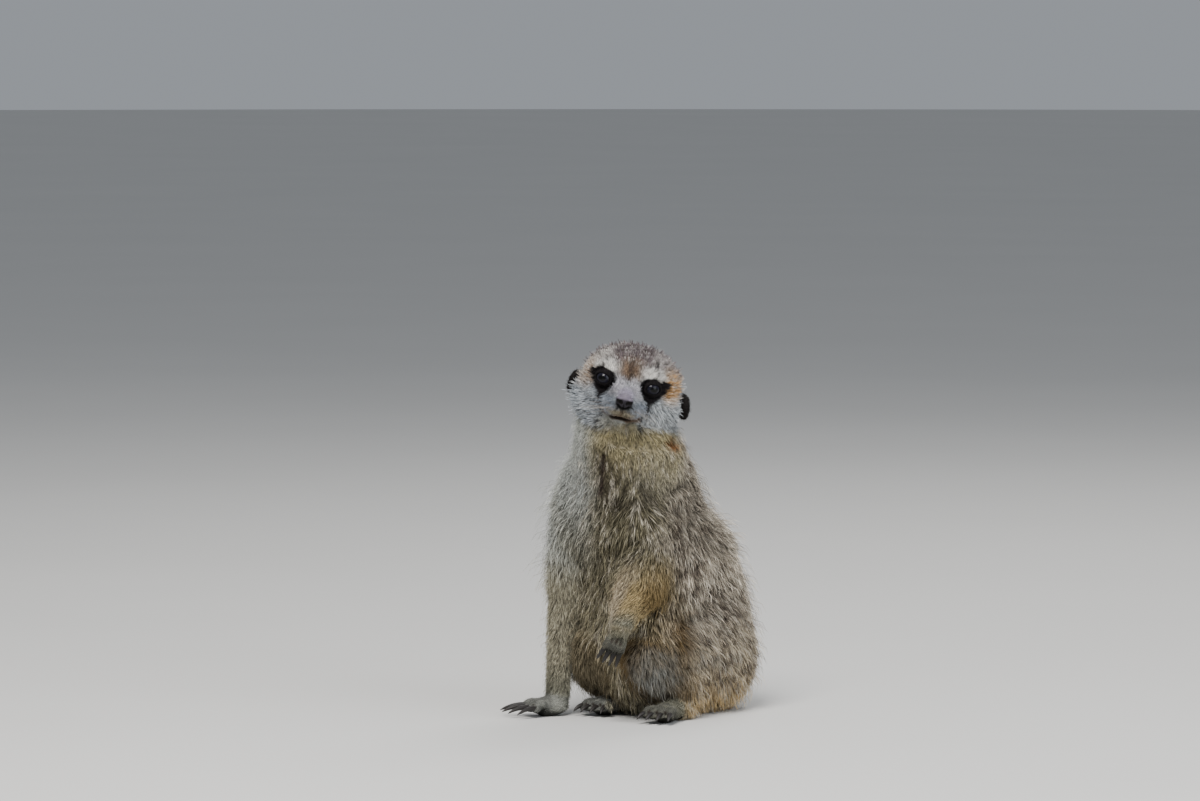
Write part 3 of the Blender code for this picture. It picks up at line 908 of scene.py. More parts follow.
def body_colour(body, share, palette):
    """The coat's colour over the neck, body, limbs and tail."""
    x, y, z = body.T
    angle = np.degrees(np.arctan2(x, -(y - np.interp(z, *MIDDLE))))
    back = step(-14, 16, np.abs(angle) - np.interp(z, *PALE_FRONT) + 18 * wander(body, 14.0, 21))
    drawn = body * (1, 1, 0.26)  # flecks longer down the body than they are wide
    bands = 0.5 + 0.5 * np.sin((z - 0.35 * y + 9 * wander(body, 19.0, 23)) * (2 * math.pi / BAND))
    fleck = step(0.42, 0.60, grain(drawn, 1.25, 24) + 0.14 * (bands - 0.5))
    fleck = fleck * step(4, 30, z) * step(190, 165, z)
    fore = step(2, -30, y + 8 * wander(body, 6.0, 30))
    colour = painted(
        palette,
        ground(palette, "flank", body),
        ("shoulder", step(120, 175, z) * 0.6),
        ("gold", 0.85 * step(78, 22, z + 16 * wander(body, 16.0, 22))),
        ("low_gold", step(34, 10, z)),
        ("crown", step(172, 192, z) * 0.7),
        ("streak", (0.6 + 0.3 * bands) * fleck),
        ("frost", 0.8 * step(0.54, 0.68, grain(drawn, 1.2, 25))),
        # painted shade, ragged, over the left flank beside the raised upper arm
        ("painted_shade", 0.48 * within(ragged(body, 9, 8.0, 39), (36, -10, 126), (18, 34, 30), 0.7)),
    )
    return painted(
        palette,
        blend_in(colour, 1 - back, front_colour(body, drawn, fore, palette)),
        ("arm", 0.4 * within(ragged(body, 8, 6.0, 43), (30, -32, 151), (13, 20, 13), 0.7)),
        ("rust", within(ragged(body, 1.6, 3.0, 38), (29, -19, 172), (3.4, 8, 9), 0.3)),
        # painted shade along the chest crease, in the colour of the back's streaks
        ("streak", 0.9 * step(2.6, 1.0, off_crease(body))),
        *leg_layers(body, drawn, fleck, fore, share("thigh"), share("shank")),
        *arm_layers(body, fore, share("upper_arm") + share("forearm")),
        *paw_layers(body, share("forefoot") + share("hindfoot")),
        ("gold", share("tail")),
        ("tail_tip", share("tail") * step(-78, -104, x)),
    )


def eye_patch(head, side, wobble):
    """1 in the dark patch round an eye, drawn down and back to a point."""
    a, b, c = eye_places(head, side).T
    a, b = a + wobble * 0.6, b + wobble * 0.5
    off_middle = np.abs(a - np.interp(b, [-11, -2, 4], [-2.0, 0.4, 1.6]))
    reach = np.interp(b, [-11, -8, -5.5, -2.5, 2, 4.5, 6.2], [0.2, 3.0, 5.4, 8.0, 9.8, 8.2, 0.2])
    return step(1.5, -0.9, off_middle - reach + 3.0 * wander(head, 0.8, 35)) * step(-11, -6, c)


def head_colour(head, palette):
    """The coat's colour over the head."""
    x, y, z = head.T
    both = mirrored(head)
    across = both[:, 0]
    wobble = 2.8 * wander(head, 3.0, 31) + 2.2 * wander(head, 1.2, 32)
    loose = both + wobble[:, None] * 0.55
    speckle = grain(head, 0.9, 33)
    top = step(5, 13, z + 0.25 * y + wobble)
    beside = step(9, 15, across + wobble) * step(8, -6, y) * np.where(x < 0, 0.95, 0.42)
    temple = within(loose, (24, -8, 5), (7, 12, 9.5), 0.5)
    midline = step(2.6, 0.6, across + 0.5 * wobble) * step(1, 5, z) * step(21, 13, z) * step(-5, -14, y)
    lip = off_mouth(head) + FAR * (y > -14) - 0.5 * step(1, 5, x)
    colour = painted(
        palette,
        ground(palette, "cheek", head),
        # painted shade: the lip pads' grey laid over the front of the right cheek
        ("muzzle", 0.4 * step(4, -6, x) * step(4, -6, y)),
        ("crown", top),
        ("crown", step(14, 26, y) * 0.8),
        ("shoulder", step(8, 22, y) * step(10, -8, z + wobble)),
        ("temple", temple * np.where(x > 0, 1.0, 0.6)),
        ("brow", 0.6 * temple * step(0.55, 0.7, speckle)),
        ("between", within(loose, (0, -19, 9.5), (9.5, 10, 8.0), 0.5)),
        ("brow", 0.9 * within(loose, (14.6, -19, 10.4), (7.6, 8, 3.3), 0.6)),
        ("bridge", within(loose, (4, -25, -2), (5, 9, 6.4), 0.5)),
        ("nose_top", within(both, (0, -34, -3), (4.4, 7, 4.5), 0.45)),
        ("muzzle", within(loose, (8, -27, -11), (9, 11, 6.5), 0.4)),
        ("streak", 0.7 * midline),
        ("brow", 0.75 * top * beside * (1 - 0.8 * temple * (x > 0))),
        ("streak", (0.8 - 0.5 * beside) * top * step(0.52, 0.66, speckle)),
        ("brow", 0.5 * top * step(0.60, 0.76, grain(head, 0.9, 34))),
        ("lip", 0.9 * within(loose, (0, -34, -14.0), (8.0, 7, 3.0), 0.4)),
        ("mouth", 0.5 * step(2.6, 1.5, lip + 0.3 * wobble)),
        ("chin", within(both, (0, -22, -21.8), (13.5, 12, 5.4), 0.4)),
        # painted shade under the left side of the chin
        ("painted_shade", 0.7 * within(head + wobble[:, None] * 0.5, (7, -25, -20.5), (6, 7, 2.6))),
        ("mouth", step(1.7, 0.8, lip) * (0.85 - 0.6 * step(-5, -9, x))),
        ("mouth", 0.8 * step(1.3, 0.4, off_line(head, LIP_PARTING))),
        ("eye_patch", within(head, (0, -38, -8.2), (5.4, 6, 3.4), 0.25)),
        ("throat", step(-23, -29, z + 0.12 * y - 0.2 * x + wobble) * step(-4, 4, -y)),
        *(("eye_patch", eye_patch(head, side, wobble)) for side in SIDES.values()),
    )
    colour *= (0.72 + 0.56 * grain(head, 1.1, 36))[:, None]
    skull = skull_places(head)
    fringe = within(skull + wobble[:, None] * 0.6, (31, 1, -14), (4, 5, 7), 0.6)
    skull = mirrored(skull)
    on_ear = step(28.6, 30.4, skull[:, 0]) * within(skull, (35, 8.6, -5.4), (7.0, 11.4, 10.6), 0.15)
    return painted(palette, colour, ("ear", 0.6 * fringe), ("ear", on_ear))


def coat_colour(body, head, share, palette):
    """The markings of the skin and of the coat, at the same points told in both frames."""
    on_head = step(0.2, 0.8, share("head") + share("ear") + 0.5 * wander(head, 2.5, 37))
    return blend_in(body_colour(body, share, palette), on_head, head_colour(head, palette))


# Tufts

Strand = namedtuple("Strand", "sides along aside")  # triangles, and each corner's place along and aside
TUFT_SIDES = [(0, 1, 3), (1, 4, 3), (1, 2, 4), (2, 5, 4), (2, 0, 5), (0, 3, 5)]
TUFT_SIDES += [(3, 4, 6), (4, 5, 6), (5, 3, 6), (0, 2, 1)]
TUFT = Strand(*map(np.array, (TUFT_SIDES, [0, 0, 0, 0.5, 0.5, 0.5, 1], [1, 0, -1, 1, 0, -1, 0])))
SPIKE = Strand(*map(np.array, ([(0, 1, 3), (1, 2, 3), (2, 0, 3), (0, 2, 1)], [0, 0, 0, 1], [1, 0, -1, 0])))
PATCH = 0.0015  # half the side of a tuft's place in the bake's map
SPIKE_BELOW = 2.6  # tufts shorter than this in millimetres are plain spikes
Kind = namedtuple("Kind", "share length width lift")  # share of the tufts, and sizes to an ordinary one's
UNDERCOAT = Kind(0.3, 0.62, 1.25, 1.0)
GUARD = Kind(0.11, 1.25, 0.85, 2.3)
LOOSE_BELOW = 2.5  # tufts shorter than this in millimetres don't lean together
ROOT_DEPTH = 0.25  # how far in millimetres the roots stand in the skin
CLUMP = 2.8  # width in millimetres of the bunches that tips lean together in
LARGE_PRIMES = (73856093, 19349663, 83492791)  # one number for each cell of a grid


class Sown:
    """Where tufts grow, and what the hide is like there."""

    def __init__(self, hide, corners, chosen, share, seed):
        triangles = corners[chosen]
        points = hide.net.points
        a, b, c = (points[triangles[:, k]] for k in range(3))
        area = np.linalg.norm(np.cross(b - a, c - a), axis=1) / 2 / MM**2
        density = (hide.density * (1 - hide.bare))[triangles].mean(axis=1) * share
        filled = np.floor(np.cumsum(area * density) + 0.5).astype(int)
        self.face = np.repeat(np.arange(len(triangles)), np.diff(filled, prepend=0))
        self.random = np.random.default_rng(seed)
        r, s = self.random.random((2, len(self.face)))
        over = r + s > 1
        r, s = np.where(over, 1 - r, r), np.where(over, 1 - s, s)
        self.weights = np.stack((1 - r - s, r, s), axis=1)
        self.corners = triangles[self.face]

    def at(self, values):
        """What the skin carries at its points, read where the tufts grow."""
        if values.ndim == 1:
            return np.sum(values[self.corners] * self.weights, axis=1)
        return np.einsum("nc,nck->nk", self.weights, values[self.corners])


def bunch(points, size, seed):
    """For each point, the number of the bunch that it belongs to."""
    loose = np.stack([grain(points, size * 1.3, seed + k) for k in range(3)], axis=1)
    cells = np.floor((points + size * 1.5 * loose) / size).astype(int)
    keys = (cells * LARGE_PRIMES).sum(axis=1)
    return np.unique(keys, return_inverse=True)[1].ravel()


def bunched(values, groups):
    """For each row, the mean of its bunch."""
    counts = np.bincount(groups)
    means = [np.bincount(groups, values[:, k]) / counts for k in range(3)]
    return np.stack(means, axis=1)[groups]


def tuft_shapes(hide, sown, look):
    """Root, middle and tip of each tuft, the ways across and out to its width, and its length."""
    random = sown.random
    count = len(sown.face)
    root, normal, lie = sown.at(hide.net.points), unit(sown.at(hide.normals)), unit(sown.at(hide.lie))
    kind = random.random(count)
    length = sown.at(hide.length) * look.length * random.uniform(0.72, 1.2, count)
    kinds = [kind < UNDERCOAT.share, kind > 1 - GUARD.share]
    length *= np.select(kinds, (UNDERCOAT.length, GUARD.length), 1.0)
    width = sown.at(hide.width) * look.width * np.select(kinds, (UNDERCOAT.width, GUARD.width), 1.0)
    lift = sown.at(hide.lift) * look.lift * random.uniform(0.5, 1.5, count)
    lift *= np.select(kinds, (UNDERCOAT.lift, GUARD.lift), 1.0)
    across = unit(np.cross(normal, lie))
    way = lie + across * random.normal(0, 0.20, count)[:, None]
    reach = (length * MM)[:, None]
    bend = root + reach * 0.5 * (way + normal * lift[:, None] * 1.25)
    tip = root + reach * (way + normal * lift[:, None] * 0.85)
    groups = bunch(root / MM, CLUMP, 40)
    clump = look.clump * sown.at(hide.clumping)
    long = (length > LOOSE_BELOW)[:, None]
    tip += (clump * random.uniform(0.5, 1.0, count))[:, None] * (bunched(tip, groups) - tip) * long
    bend += 0.35 * clump[:, None] * (bunched(bend, groups) - bend) * long
    root = root - normal * ROOT_DEPTH * MM
    half = (width * MM / 2)[:, None]
    return root, bend, tip, across * half, normal * half, length


def tuft_mesh(name, hide, sown, look, palette, flat):
    """The tufts of one piece of coat as a mesh with its colours and its map."""
    root, bend, tip, across, out, length = tuft_shapes(hide, sown, look)
    body, head = in_body(root), in_head(root)
    shares = dict(zip(PARTS, sown.at(hide.shares).T))
    tone = coat_colour(body, head, shares.get, palette)
    tone *= (0.80 + 0.4 * grain(body, 2.4, 50))[:, None]
    chance = sown.random.random(len(root))
    back = np.clip(shares["trunk"] + 0.6 * shares["neck"], 0, 1) * sown.at(hide.clumping)
    place = np.einsum("nc,nck->nk", sown.weights, flat[sown.face])
    ring = [root + across, root + out * 0.8, root - across]
    upper = [bend + across * 0.8, bend + out * 0.6, bend - across * 0.8]
    short = length < SPIKE_BELOW
    points, triangles, tones, strands, places, count = [], [], [], [], [], 0
    for chosen, stack, strand in ((~short, [*ring, *upper, tip], TUFT), (short, [*ring, tip], SPIKE)):
        number, corners = int(chosen.sum()), len(stack)
        starts = count + corners * np.arange(number)
        count += corners * number
        points.append(np.stack([row[chosen] for row in stack], axis=1).reshape(-1, 3))
        triangles.append((strand.sides[None] + starts[:, None, None]).reshape(-1, 3))
        tones.append(np.repeat(tone[chosen], corners, axis=0))
        told = np.broadcast_arrays(strand.along[None], chance[chosen][:, None], back[chosen][:, None])
        strands.append(np.stack(told, axis=2).reshape(-1, 3))
        offset = np.stack((strand.aside, strand.along * 2 - 1), axis=1) * PATCH
        places.append((place[chosen][:, None] + offset[None]).reshape(-1, 2))
    triangles = np.concatenate(triangles)
    mesh = mesh_of(name, above_floor(np.concatenate(points), FLOOR_GAP), triangles)
    carry(mesh, "tone", np.concatenate(tones))
    carry(mesh, "strand", np.concatenate(strands))
    write(mesh.uv_layers.new(name="OFBake").data, "uv", np.concatenate(places)[triangles.ravel()])
    mesh.shade_smooth()
    return mesh


def flattened(hide, corners, chosen):
    """The places of a patch of skin's triangles on its own unwrap, three corners each."""
    used, inverse = np.unique(corners[chosen], return_inverse=True)
    mesh = mesh_of("patch", hide.net.points[used], inverse.reshape(-1, 3))
    obj = piece("patch", mesh)
    bpy.ops.object.select_all(action="DESELECT")
    obj.select_set(True)
    bpy.context.view_layer.objects.active = obj
    bpy.ops.object.mode_set(mode="EDIT")
    bpy.ops.mesh.select_all(action="SELECT")
    bpy.ops.uv.smart_project(angle_limit=math.radians(66), island_margin=0.004)
    bpy.ops.object.mode_set(mode="OBJECT")
    flat = read(mesh.uv_layers.active.data, "uv", 2)
    bpy.data.objects.remove(obj)
    bpy.data.meshes.remove(mesh)
    return flat.reshape(-1, 3, 2).astype(float)


# Finishes


class Value:
    """A socket of a node tree, for sums written in Python."""

    def __init__(self, nodes, socket):
        self.nodes, self.socket = nodes, socket

    def sum(self, operation, *values):
        return self.nodes.node("ShaderNodeMath", {"operation": operation}, dict(enumerate(values)))

    def __add__(self, other):
        return self.sum("ADD", self, other)

    def __sub__(self, other):
        return self.sum("SUBTRACT", self, other)

    def __mul__(self, other):
        return self.sum("MULTIPLY", self, other)

    def __rsub__(self, other):
        return self.sum("SUBTRACT", other, self)

    def __rtruediv__(self, other):
        return self.sum("DIVIDE", other, self)

    def root(self):
        return self.sum("SQRT", self)

    __radd__, __rmul__ = __add__, __mul__


class Nodes:
    """The node tree of a new material."""

    def __init__(self, name, **constants):
        self.material = bpy.data.materials.new(name)
        self.material.use_nodes = True
        self.tree = self.material.node_tree
        self.shader = self.tree.nodes["Principled BSDF"]
        for socket, value in constants.items():
            self.shader.inputs[socket.replace("_", " ")].default_value = value

    def node(self, kind, settings=None, inputs=None, output=0):
        made = self.tree.nodes.new(kind)
        for name, value in (settings or {}).items():
            setattr(made, name, value)
        for name, value in (inputs or {}).items():
            if isinstance(value, Value):
                self.tree.links.new(value.socket, made.inputs[name])
            else:
                made.inputs[name].default_value = value
        return Value(self, made.outputs[output])

    def drive(self, socket, value):
        self.tree.links.new(value.socket, self.shader.inputs[socket])

    def attribute(self, name):
        return self.node("ShaderNodeAttribute", {"attribute_name": name}, output="Vector")

    def split(self, name):
        """The three numbers that an attribute holds."""
        made = self.tree.nodes.new("ShaderNodeSeparateXYZ")
        self.tree.links.new(self.attribute(name).socket, made.inputs[0])
        return [Value(self, output) for output in made.outputs]

    def place(self):
        return self.node("ShaderNodeTexCoord", output="Object")

    def noise(self, scale, detail=2.0, vector=None):
        inputs = {"Vector": vector or self.place(), "Scale": scale, "Detail": detail}
        return self.node("ShaderNodeTexNoise", None, inputs)

    def scaled(self, colour, factor):
        return self.node("ShaderNodeVectorMath", {"operation": "SCALE"}, {0: colour, "Scale": factor})

    def mix(self, factor, a, b):
        return self.node("ShaderNodeMix", {"data_type": "RGBA"}, {"Factor": factor, 6: a, 7: b}, output=2)

    def ramp(self, factor, low, high):
        """0 at low to 1 at high."""
        return self.node("ShaderNodeMapRange", None, {"Value": factor, "From Min": low, "From Max": high})

    def bump(self, height, distance, strength=0.6):
        inputs = {"Height": height, "Distance": distance, "Strength": strength}
        self.drive("Normal", self.node("ShaderNodeBump", None, inputs))


def rgba(colour, share=1.0):
    return (*(share * value for value in colour), 1)


def coat_finish():
    """Tufts dark at the root and paler outwards, ticked dark and light over the back."""
    nodes = Nodes("coat", Roughness=0.62, Specular_IOR_Level=0.1)
    along, chance, back = nodes.split("strand")
    # dark roots: partly the hair's own dark base, partly painted shade deep in the coat
    shade = 0.22 + 0.95 * nodes.ramp(along, 0.0, 0.85)
    shade = shade * (0.62 + 0.76 * chance)
    band = nodes.ramp(along, 0.35, 0.6) * nodes.ramp(chance, 0.55, 0.8) * back
    dark = nodes.ramp(along, 0.5, 0.95) * nodes.ramp(chance, 0.42, 0.2) * back
    shade = shade * (1 + 0.55 * band) * (1 - 0.72 * dark)
    nodes.drive("Base Color", nodes.scaled(nodes.attribute("tone"), shade))
    nodes.drive("Roughness", 0.75 - 0.15 * along)
    return nodes.material


def skin_finish():
    """Skin under the coat in the coat's own markings, creased and mottled."""
    nodes = Nodes("skin", Specular_IOR_Level=0.08)
    mottle = nodes.noise(900.0, 3.0)
    # the skin darker than the coat: partly its own dark colour, partly painted shade in the gaps under the
    # coat
    nodes.drive("Base Color", nodes.scaled(nodes.attribute("tone"), 0.24 + 0.3 * mottle))
    nodes.drive("Roughness", 0.62 + 0.25 * nodes.noise(300.0))
    nodes.bump(nodes.noise(2200.0, 4.0), 0.0004)
    return nodes.material


def eye_finish(settings):
    """A dark eye: deep brown iris with fine rays and a blue tint of painted reflection, a wide pupil and a
    wet clear front.
    """
    nodes = Nodes("eye", Roughness=0.14, Coat_Weight=0.08, Coat_Roughness=0.05, IOR=1.22)
    across, up, _ = nodes.split("sight")
    out = (across * across + up * up).root()
    pupil = ((across * 0.62) * (across * 0.62) + up * up).root()
    rays = nodes.noise(14.0, 3.0, nodes.scaled(nodes.attribute("sight"), 1.0 / (out + 0.05)))
    iris = nodes.mix(rays, rgba(settings.iris), rgba(settings.iris, 0.5))
    colour = nodes.mix(nodes.ramp(pupil, 0.24, 0.30), (0.002, 0.002, 0.002, 1), iris)
    colour = nodes.mix(nodes.ramp(out, 0.66, 0.78), colour, (0.006, 0.005, 0.004, 1))
    nodes.drive("Base Color", colour)
    return nodes.material


def nose_finish(settings):
    """A pebbled, damp pad with black nostrils."""
    nodes = Nodes("nose", Specular_IOR_Level=0.16)
    depth, low, _ = nodes.split("hollow")
    pebbles = nodes.node("ShaderNodeTexVoronoi", None, {"Vector": nodes.place(), "Scale": 1500.0})
    tint = nodes.mix(nodes.noise(420.0), rgba(settings.nose), rgba(settings.nose, 0.62))
    tint = nodes.mix(low, tint, rgba(settings.nose, 0.10))
    # near-black in the nostril hollows and the groove between them: painted shade in the recesses
    nodes.drive("Base Color", nodes.mix(nodes.ramp(depth, 0.12, 0.6), tint, (0.004, 0.003, 0.003, 1)))
    nodes.drive("Roughness", 0.4 + 0.2 * pebbles + 0.4 * low)
    nodes.bump(pebbles, 0.00025, 0.7)
    return nodes.material


def horn_finish(settings):
    """Claw horn, dark at the quick and paler towards the tip, with lengthwise grain."""
    nodes = Nodes("claw_horn", Specular_IOR_Level=0.24)
    along, *_ = nodes.split("strand")
    streak = nodes.noise(1400.0, 3.0)
    colour = nodes.mix(nodes.ramp(along, 0.1, 1.0), rgba(settings.claw), rgba(settings.claw, 1.8))
    nodes.drive("Base Color", nodes.scaled(colour, 0.7 + 0.6 * streak))
    nodes.drive("Roughness", 0.32 + 0.22 * streak)
    nodes.bump(streak, 0.0001, 0.4)
    return nodes.material


def whisker_finish():
    """Dark at the root and pale outwards."""
    nodes = Nodes("whisker", Roughness=0.4)
    along, *_ = nodes.split("strand")
    colour = nodes.mix(nodes.ramp(along, 0.0, 0.35), (0.05, 0.04, 0.04, 1), (0.30, 0.27, 0.24, 1))
    nodes.drive("Base Color", colour)
    return nodes.material


# Eyes, nose, claws and whiskers


def build_eye(side, name, settings):
    """An eyeball with the bulge of its clear front."""
    mesh = shape(name, bmesh.ops.create_uvsphere, u_segments=64, v_segments=40, radius=1.0)
    points = read(mesh.vertices, "co", 3).astype(float)
    swell = 1.0 + settings.bulge * step(0.95, 0.0, np.arccos(np.clip(points[:, 2], -1, 1)))
    centre, *axes = eye_axes(side)
    placed = np.array(centre) + (points * swell[:, None] * EYE_RADIUS) @ np.array([axis[:] for axis in axes])
    write(mesh.vertices, "co", through(HEAD, placed))
    mesh.update()
    carry(mesh, "sight", points)
    mesh.shade_smooth()
    turn_out(mesh)
    return piece(name, mesh)


NOSE_VOXEL = 0.3
NOSTRILS = [(2.7, -41.0, -7.1, 1.9), (4.0, -40.0, -6.6, 1.7), (5.1, -38.4, -6.5, 1.2)]  # centres and radii


def build_nose():
    clay = Clay()
    clay.ball(HEAD, (0, -37.6, -4.6), (4.0, 3.2, 3.0))
    clay.ball(HEAD, (0, -38.8, -7.4), (3.0, 2.6, 2.7))
    for side in SIDES.values():
        clay.ball(HEAD, (side * 3.1, -38.3, -6.2), (2.4, 2.9, 2.4))
    mesh = remeshed(clay.mesh("nose"), NOSE_VOXEL)
    net = Net(mesh)
    net.move(net.spread(net.points, SMOOTHING))
    head = in_head(net.points)
    hollow = np.zeros(len(head))
    for side in SIDES.values():
        for x, y, z, radius in NOSTRILS:
            reach = np.linalg.norm(head - (side * x, y, z), axis=1)
            hollow = np.maximum(hollow, step(radius * 1.25, radius * 0.5, reach))
    groove = ridge(head[:, 0], 0.35) * step(-4.8, -7.5, head[:, 2])
    net.move(net.points - net.normals(1) * (1.3 * hollow + 0.45 * groove)[:, None] * MM)
    made = piece("nose_pad", mesh)
    low = 0.95 * step(-4.4, -5.8, head[:, 2])
    carry(mesh, "hollow", np.stack((np.maximum(hollow, 0.6 * groove), low, low), axis=1))
    mesh.shade_smooth()
    return made


def tube_tree():
    """Nodes that turn lines into tapering tubes, from the lines' own radius."""
    tree = bpy.data.node_groups.new("tapered tubes", "GeometryNodeTree")
    face = tree.interface
    face.new_socket("Geometry", in_out="INPUT", socket_type="NodeSocketGeometry")
    face.new_socket("Sides", in_out="INPUT", socket_type="NodeSocketInt").default_value = 8
    face.new_socket("Thickness", in_out="INPUT", socket_type="NodeSocketFloat").default_value = 1.0
    face.new_socket("Finish", in_out="INPUT", socket_type="NodeSocketMaterial")
    face.new_socket("Geometry", in_out="OUTPUT", socket_type="NodeSocketGeometry")
    node, link = tree.nodes.new, tree.links.new
    given, result = node("NodeGroupInput"), node("NodeGroupOutput")
    lines, radius = node("GeometryNodeMeshToCurve"), node("GeometryNodeInputNamedAttribute")
    ring, sweep = node("GeometryNodeCurvePrimitiveCircle"), node("GeometryNodeCurveToMesh")
    real, finish = node("GeometryNodeRealizeInstances"), node("GeometryNodeSetMaterial")
    product = node("ShaderNodeMath")
    product.operation = "MULTIPLY"
    radius.inputs["Name"].default_value = "thick"
    ring.inputs["Radius"].default_value = 1.0
    sweep.inputs["Fill Caps"].default_value = True
    link(given.outputs["Geometry"], lines.inputs[0])
    link(radius.outputs["Attribute"], product.inputs[0])
    link(given.outputs["Thickness"], product.inputs[1])
    link(given.outputs["Sides"], ring.inputs["Resolution"])
    link(lines.outputs[0], sweep.inputs["Curve"])
    link(ring.outputs[0], sweep.inputs["Profile Curve"])
    link(product.outputs[0], sweep.inputs["Scale"])
    link(sweep.outputs[0], real.inputs[0])
    link(real.outputs[0], finish.inputs["Geometry"])
    link(given.outputs["Finish"], finish.inputs["Material"])
    link(finish.outputs[0], result.inputs["Geometry"])
    return tree


def tubes(name, lines, radii, finish, sides, thickness=1.0):
    """Tapered tubes along lines of points, with the radius at each point, in metres."""
    points = np.concatenate(lines)
    starts = np.cumsum([0, *[len(line) for line in lines[:-1]]])
    edges = [(s + k, s + k + 1) for s, line in zip(starts, lines) for k in range(len(line) - 1)]
    mesh = bpy.data.meshes.new(name)
    mesh.from_pydata([tuple(p) for p in points], edges, [])
    write(mesh.attributes.new("thick", "FLOAT", "POINT").data, "value", np.concatenate(radii))
    along = np.concatenate([np.linspace(0, 1, len(line)) for line in lines])
    carry(mesh, "strand", np.stack((along, along, along), axis=1))
    obj = piece(name, mesh)
    modifier = obj.modifiers.new("tubes", "NODES")
    modifier.node_group = bpy.data.node_groups.get("tapered tubes") or tube_tree()
    given = {"Sides": sides, "Thickness": thickness, "Finish": finish}
    for item in modifier.node_group.interface.items_tree:
        if item.in_out == "INPUT" and item.name in given:
            modifier[item.identifier] = given[item.name]
    made = piece(name + "_made", applied(obj))
    made.name = name
    turn_out(made.data)
    made.data.shade_smooth()
    return made


def claw_lines(paw):
    """The curved middle of each claw of a paw, with its radii."""
    for root, way, reach in toes(paw):
        tip = root + way * reach
        t = np.linspace(0, 1, 12)
        rise = -0.8 + 2.8 * t - 5.6 * t * t
        line = np.array(tip) + np.outer(paw.claw * t - 2.0, way) + np.outer(rise, (0, 0, 1))
        yield above_floor(through(paw_frame(paw), line), 2 * FLOOR_GAP), (1.5 * (1 - t) ** 0.6 + 0.12) * MM


def build_claws(finish, thickness):
    for name, paw in PAWS.items():
        lines, radii = zip(*claw_lines(paw))
        yield name, tubes("claws_" + name, lines, radii, finish, 10, thickness)


def build_whiskers(finish, settings):
    """Stiff hairs of the lip pads, brows and chin, swept out and a little back."""
    random = np.random.default_rng(17)
    lines, radii = [], []
    beds = (
        ((5.2, -33.5, -11.5), (3.4, 4.5, 2.6), (0.9, -0.25, -0.10), settings.whisker, 10),
        ((11, -18, 12), (3, 1, 1), (0.35, -0.5, 0.75), settings.whisker * 0.45, 3),
        ((3.5, -26, -21), (2, 3, 1), (0.2, -0.3, -0.9), settings.whisker * 0.3, 3),
    )
    for side in SIDES.values():
        for centre, spread, way, length, count in beds:
            for _ in range(count):
                start = np.array(centre) + np.array(spread) * random.uniform(-1, 1, 3)
                heading = np.array(way) + random.normal(0, 0.16, 3)
                reach = length / MM * random.uniform(0.6, 1.1)
                t = np.linspace(0, 1, 14)
                droop = np.outer(t**2 * reach * 0.18, (0.1, 0.75, -0.45))
                line = (start + np.outer(t * reach, heading / np.linalg.norm(heading)) + droop) * (side, 1, 1)
                lines.append(through(HEAD, line))
                radii.append((0.07 * (1 - t) + 0.014) * MM)
    return tubes("whiskers", lines, radii, finish, 5)


# The stage

FLOOR_REACH = 14.0  # metres
CHEST = Vector((0, 0, 0.12))  # what the lamps point at
LAMPS = (  # metres towards the camera, to its right and up, then share of the power, size and colour
    ("key", 1.3, -0.35, 1.6, 1.0, 0.9, (1.0, 0.98, 0.95)),
    ("fill", 1.2, 1.4, 0.6, 0.35, 1.4, (0.92, 0.96, 1.0)),
    ("rim", -1.2, 0.5, 1.6, 0.24, 0.8, (1.0, 0.99, 0.97)),
)
SKY = (0.86, 0.92, 1.0, 1)
CAMERA_AZIMUTH = 38.0
CAMERA_RISE = 4.0
CAMERA_DISTANCE = 4.0
CAMERA_LENS = 200.0
VIEW_OFFSET = (-0.0168, -0.0102)  # of the view's middle from between the eyes


def lay_floor(settings):
    """A round floor, wide enough to run to the horizon."""
    mesh = shape("floor", bmesh.ops.create_circle, cap_ends=True, segments=96, radius=FLOOR_REACH)
    nodes = Nodes("floor", Roughness=0.85)
    nodes.drive("Base Color", nodes.mix(nodes.noise(3.0), rgba(settings.floor), rgba(settings.floor, 0.94)))
    mesh.materials.append(nodes.material)
    return piece("floor", mesh)


def aimed(name, data, location, target):
    """An object that looks from a place towards another."""
    obj = piece(name, data)
    obj.location = location
    obj.rotation_mode = "QUATERNION"
    obj.rotation_quaternion = (target - location).to_track_quat("-Z", "Y")
    return obj


def view_axes():
    """The camera's right and up, and the way back to it."""
    turn, rise = math.radians(CAMERA_AZIMUTH), math.radians(CAMERA_RISE)
    back = Vector((math.sin(turn) * math.cos(rise), -math.cos(turn) * math.cos(rise), math.sin(rise)))
    right = Vector((math.cos(turn), math.sin(turn), 0))
    return right, back.cross(right), back


def build_stage(settings):
    """The camera, lamps and sky; returns the floor."""
    right, up, back = view_axes()
    target = between_eyes() + right * VIEW_OFFSET[0] + up * VIEW_OFFSET[1]
    camera = aimed("camera", bpy.data.cameras.new("camera"), target + back * CAMERA_DISTANCE, target)
    camera.data.lens = CAMERA_LENS
    for name, ahead, aside, height, share, size, colour in LAMPS:
        light = bpy.data.lights.new(name, "AREA")
        light.energy, light.size, light.color = settings.key * share, size, colour
        aimed(name, light, CHEST + back * ahead + right * aside + Vector((0, 0, height)), CHEST)
    world = bpy.data.worlds.new("studio")
    world.use_nodes = True
    background = world.node_tree.nodes["Background"].inputs
    background["Color"].default_value, background["Strength"].default_value = SKY, settings.sky
    scene = bpy.context.scene
    scene.camera, scene.world = camera, world
    return lay_floor(settings)


# Settings


def hue(name, description, default):
    return bpy.props.FloatVectorProperty(
        name=name, description=description, default=default, subtype="COLOR", min=0.0, max=1.0
    )


def amount(name, description, default, **more):
    return bpy.props.FloatProperty(name=name, description=description, default=default, **more)


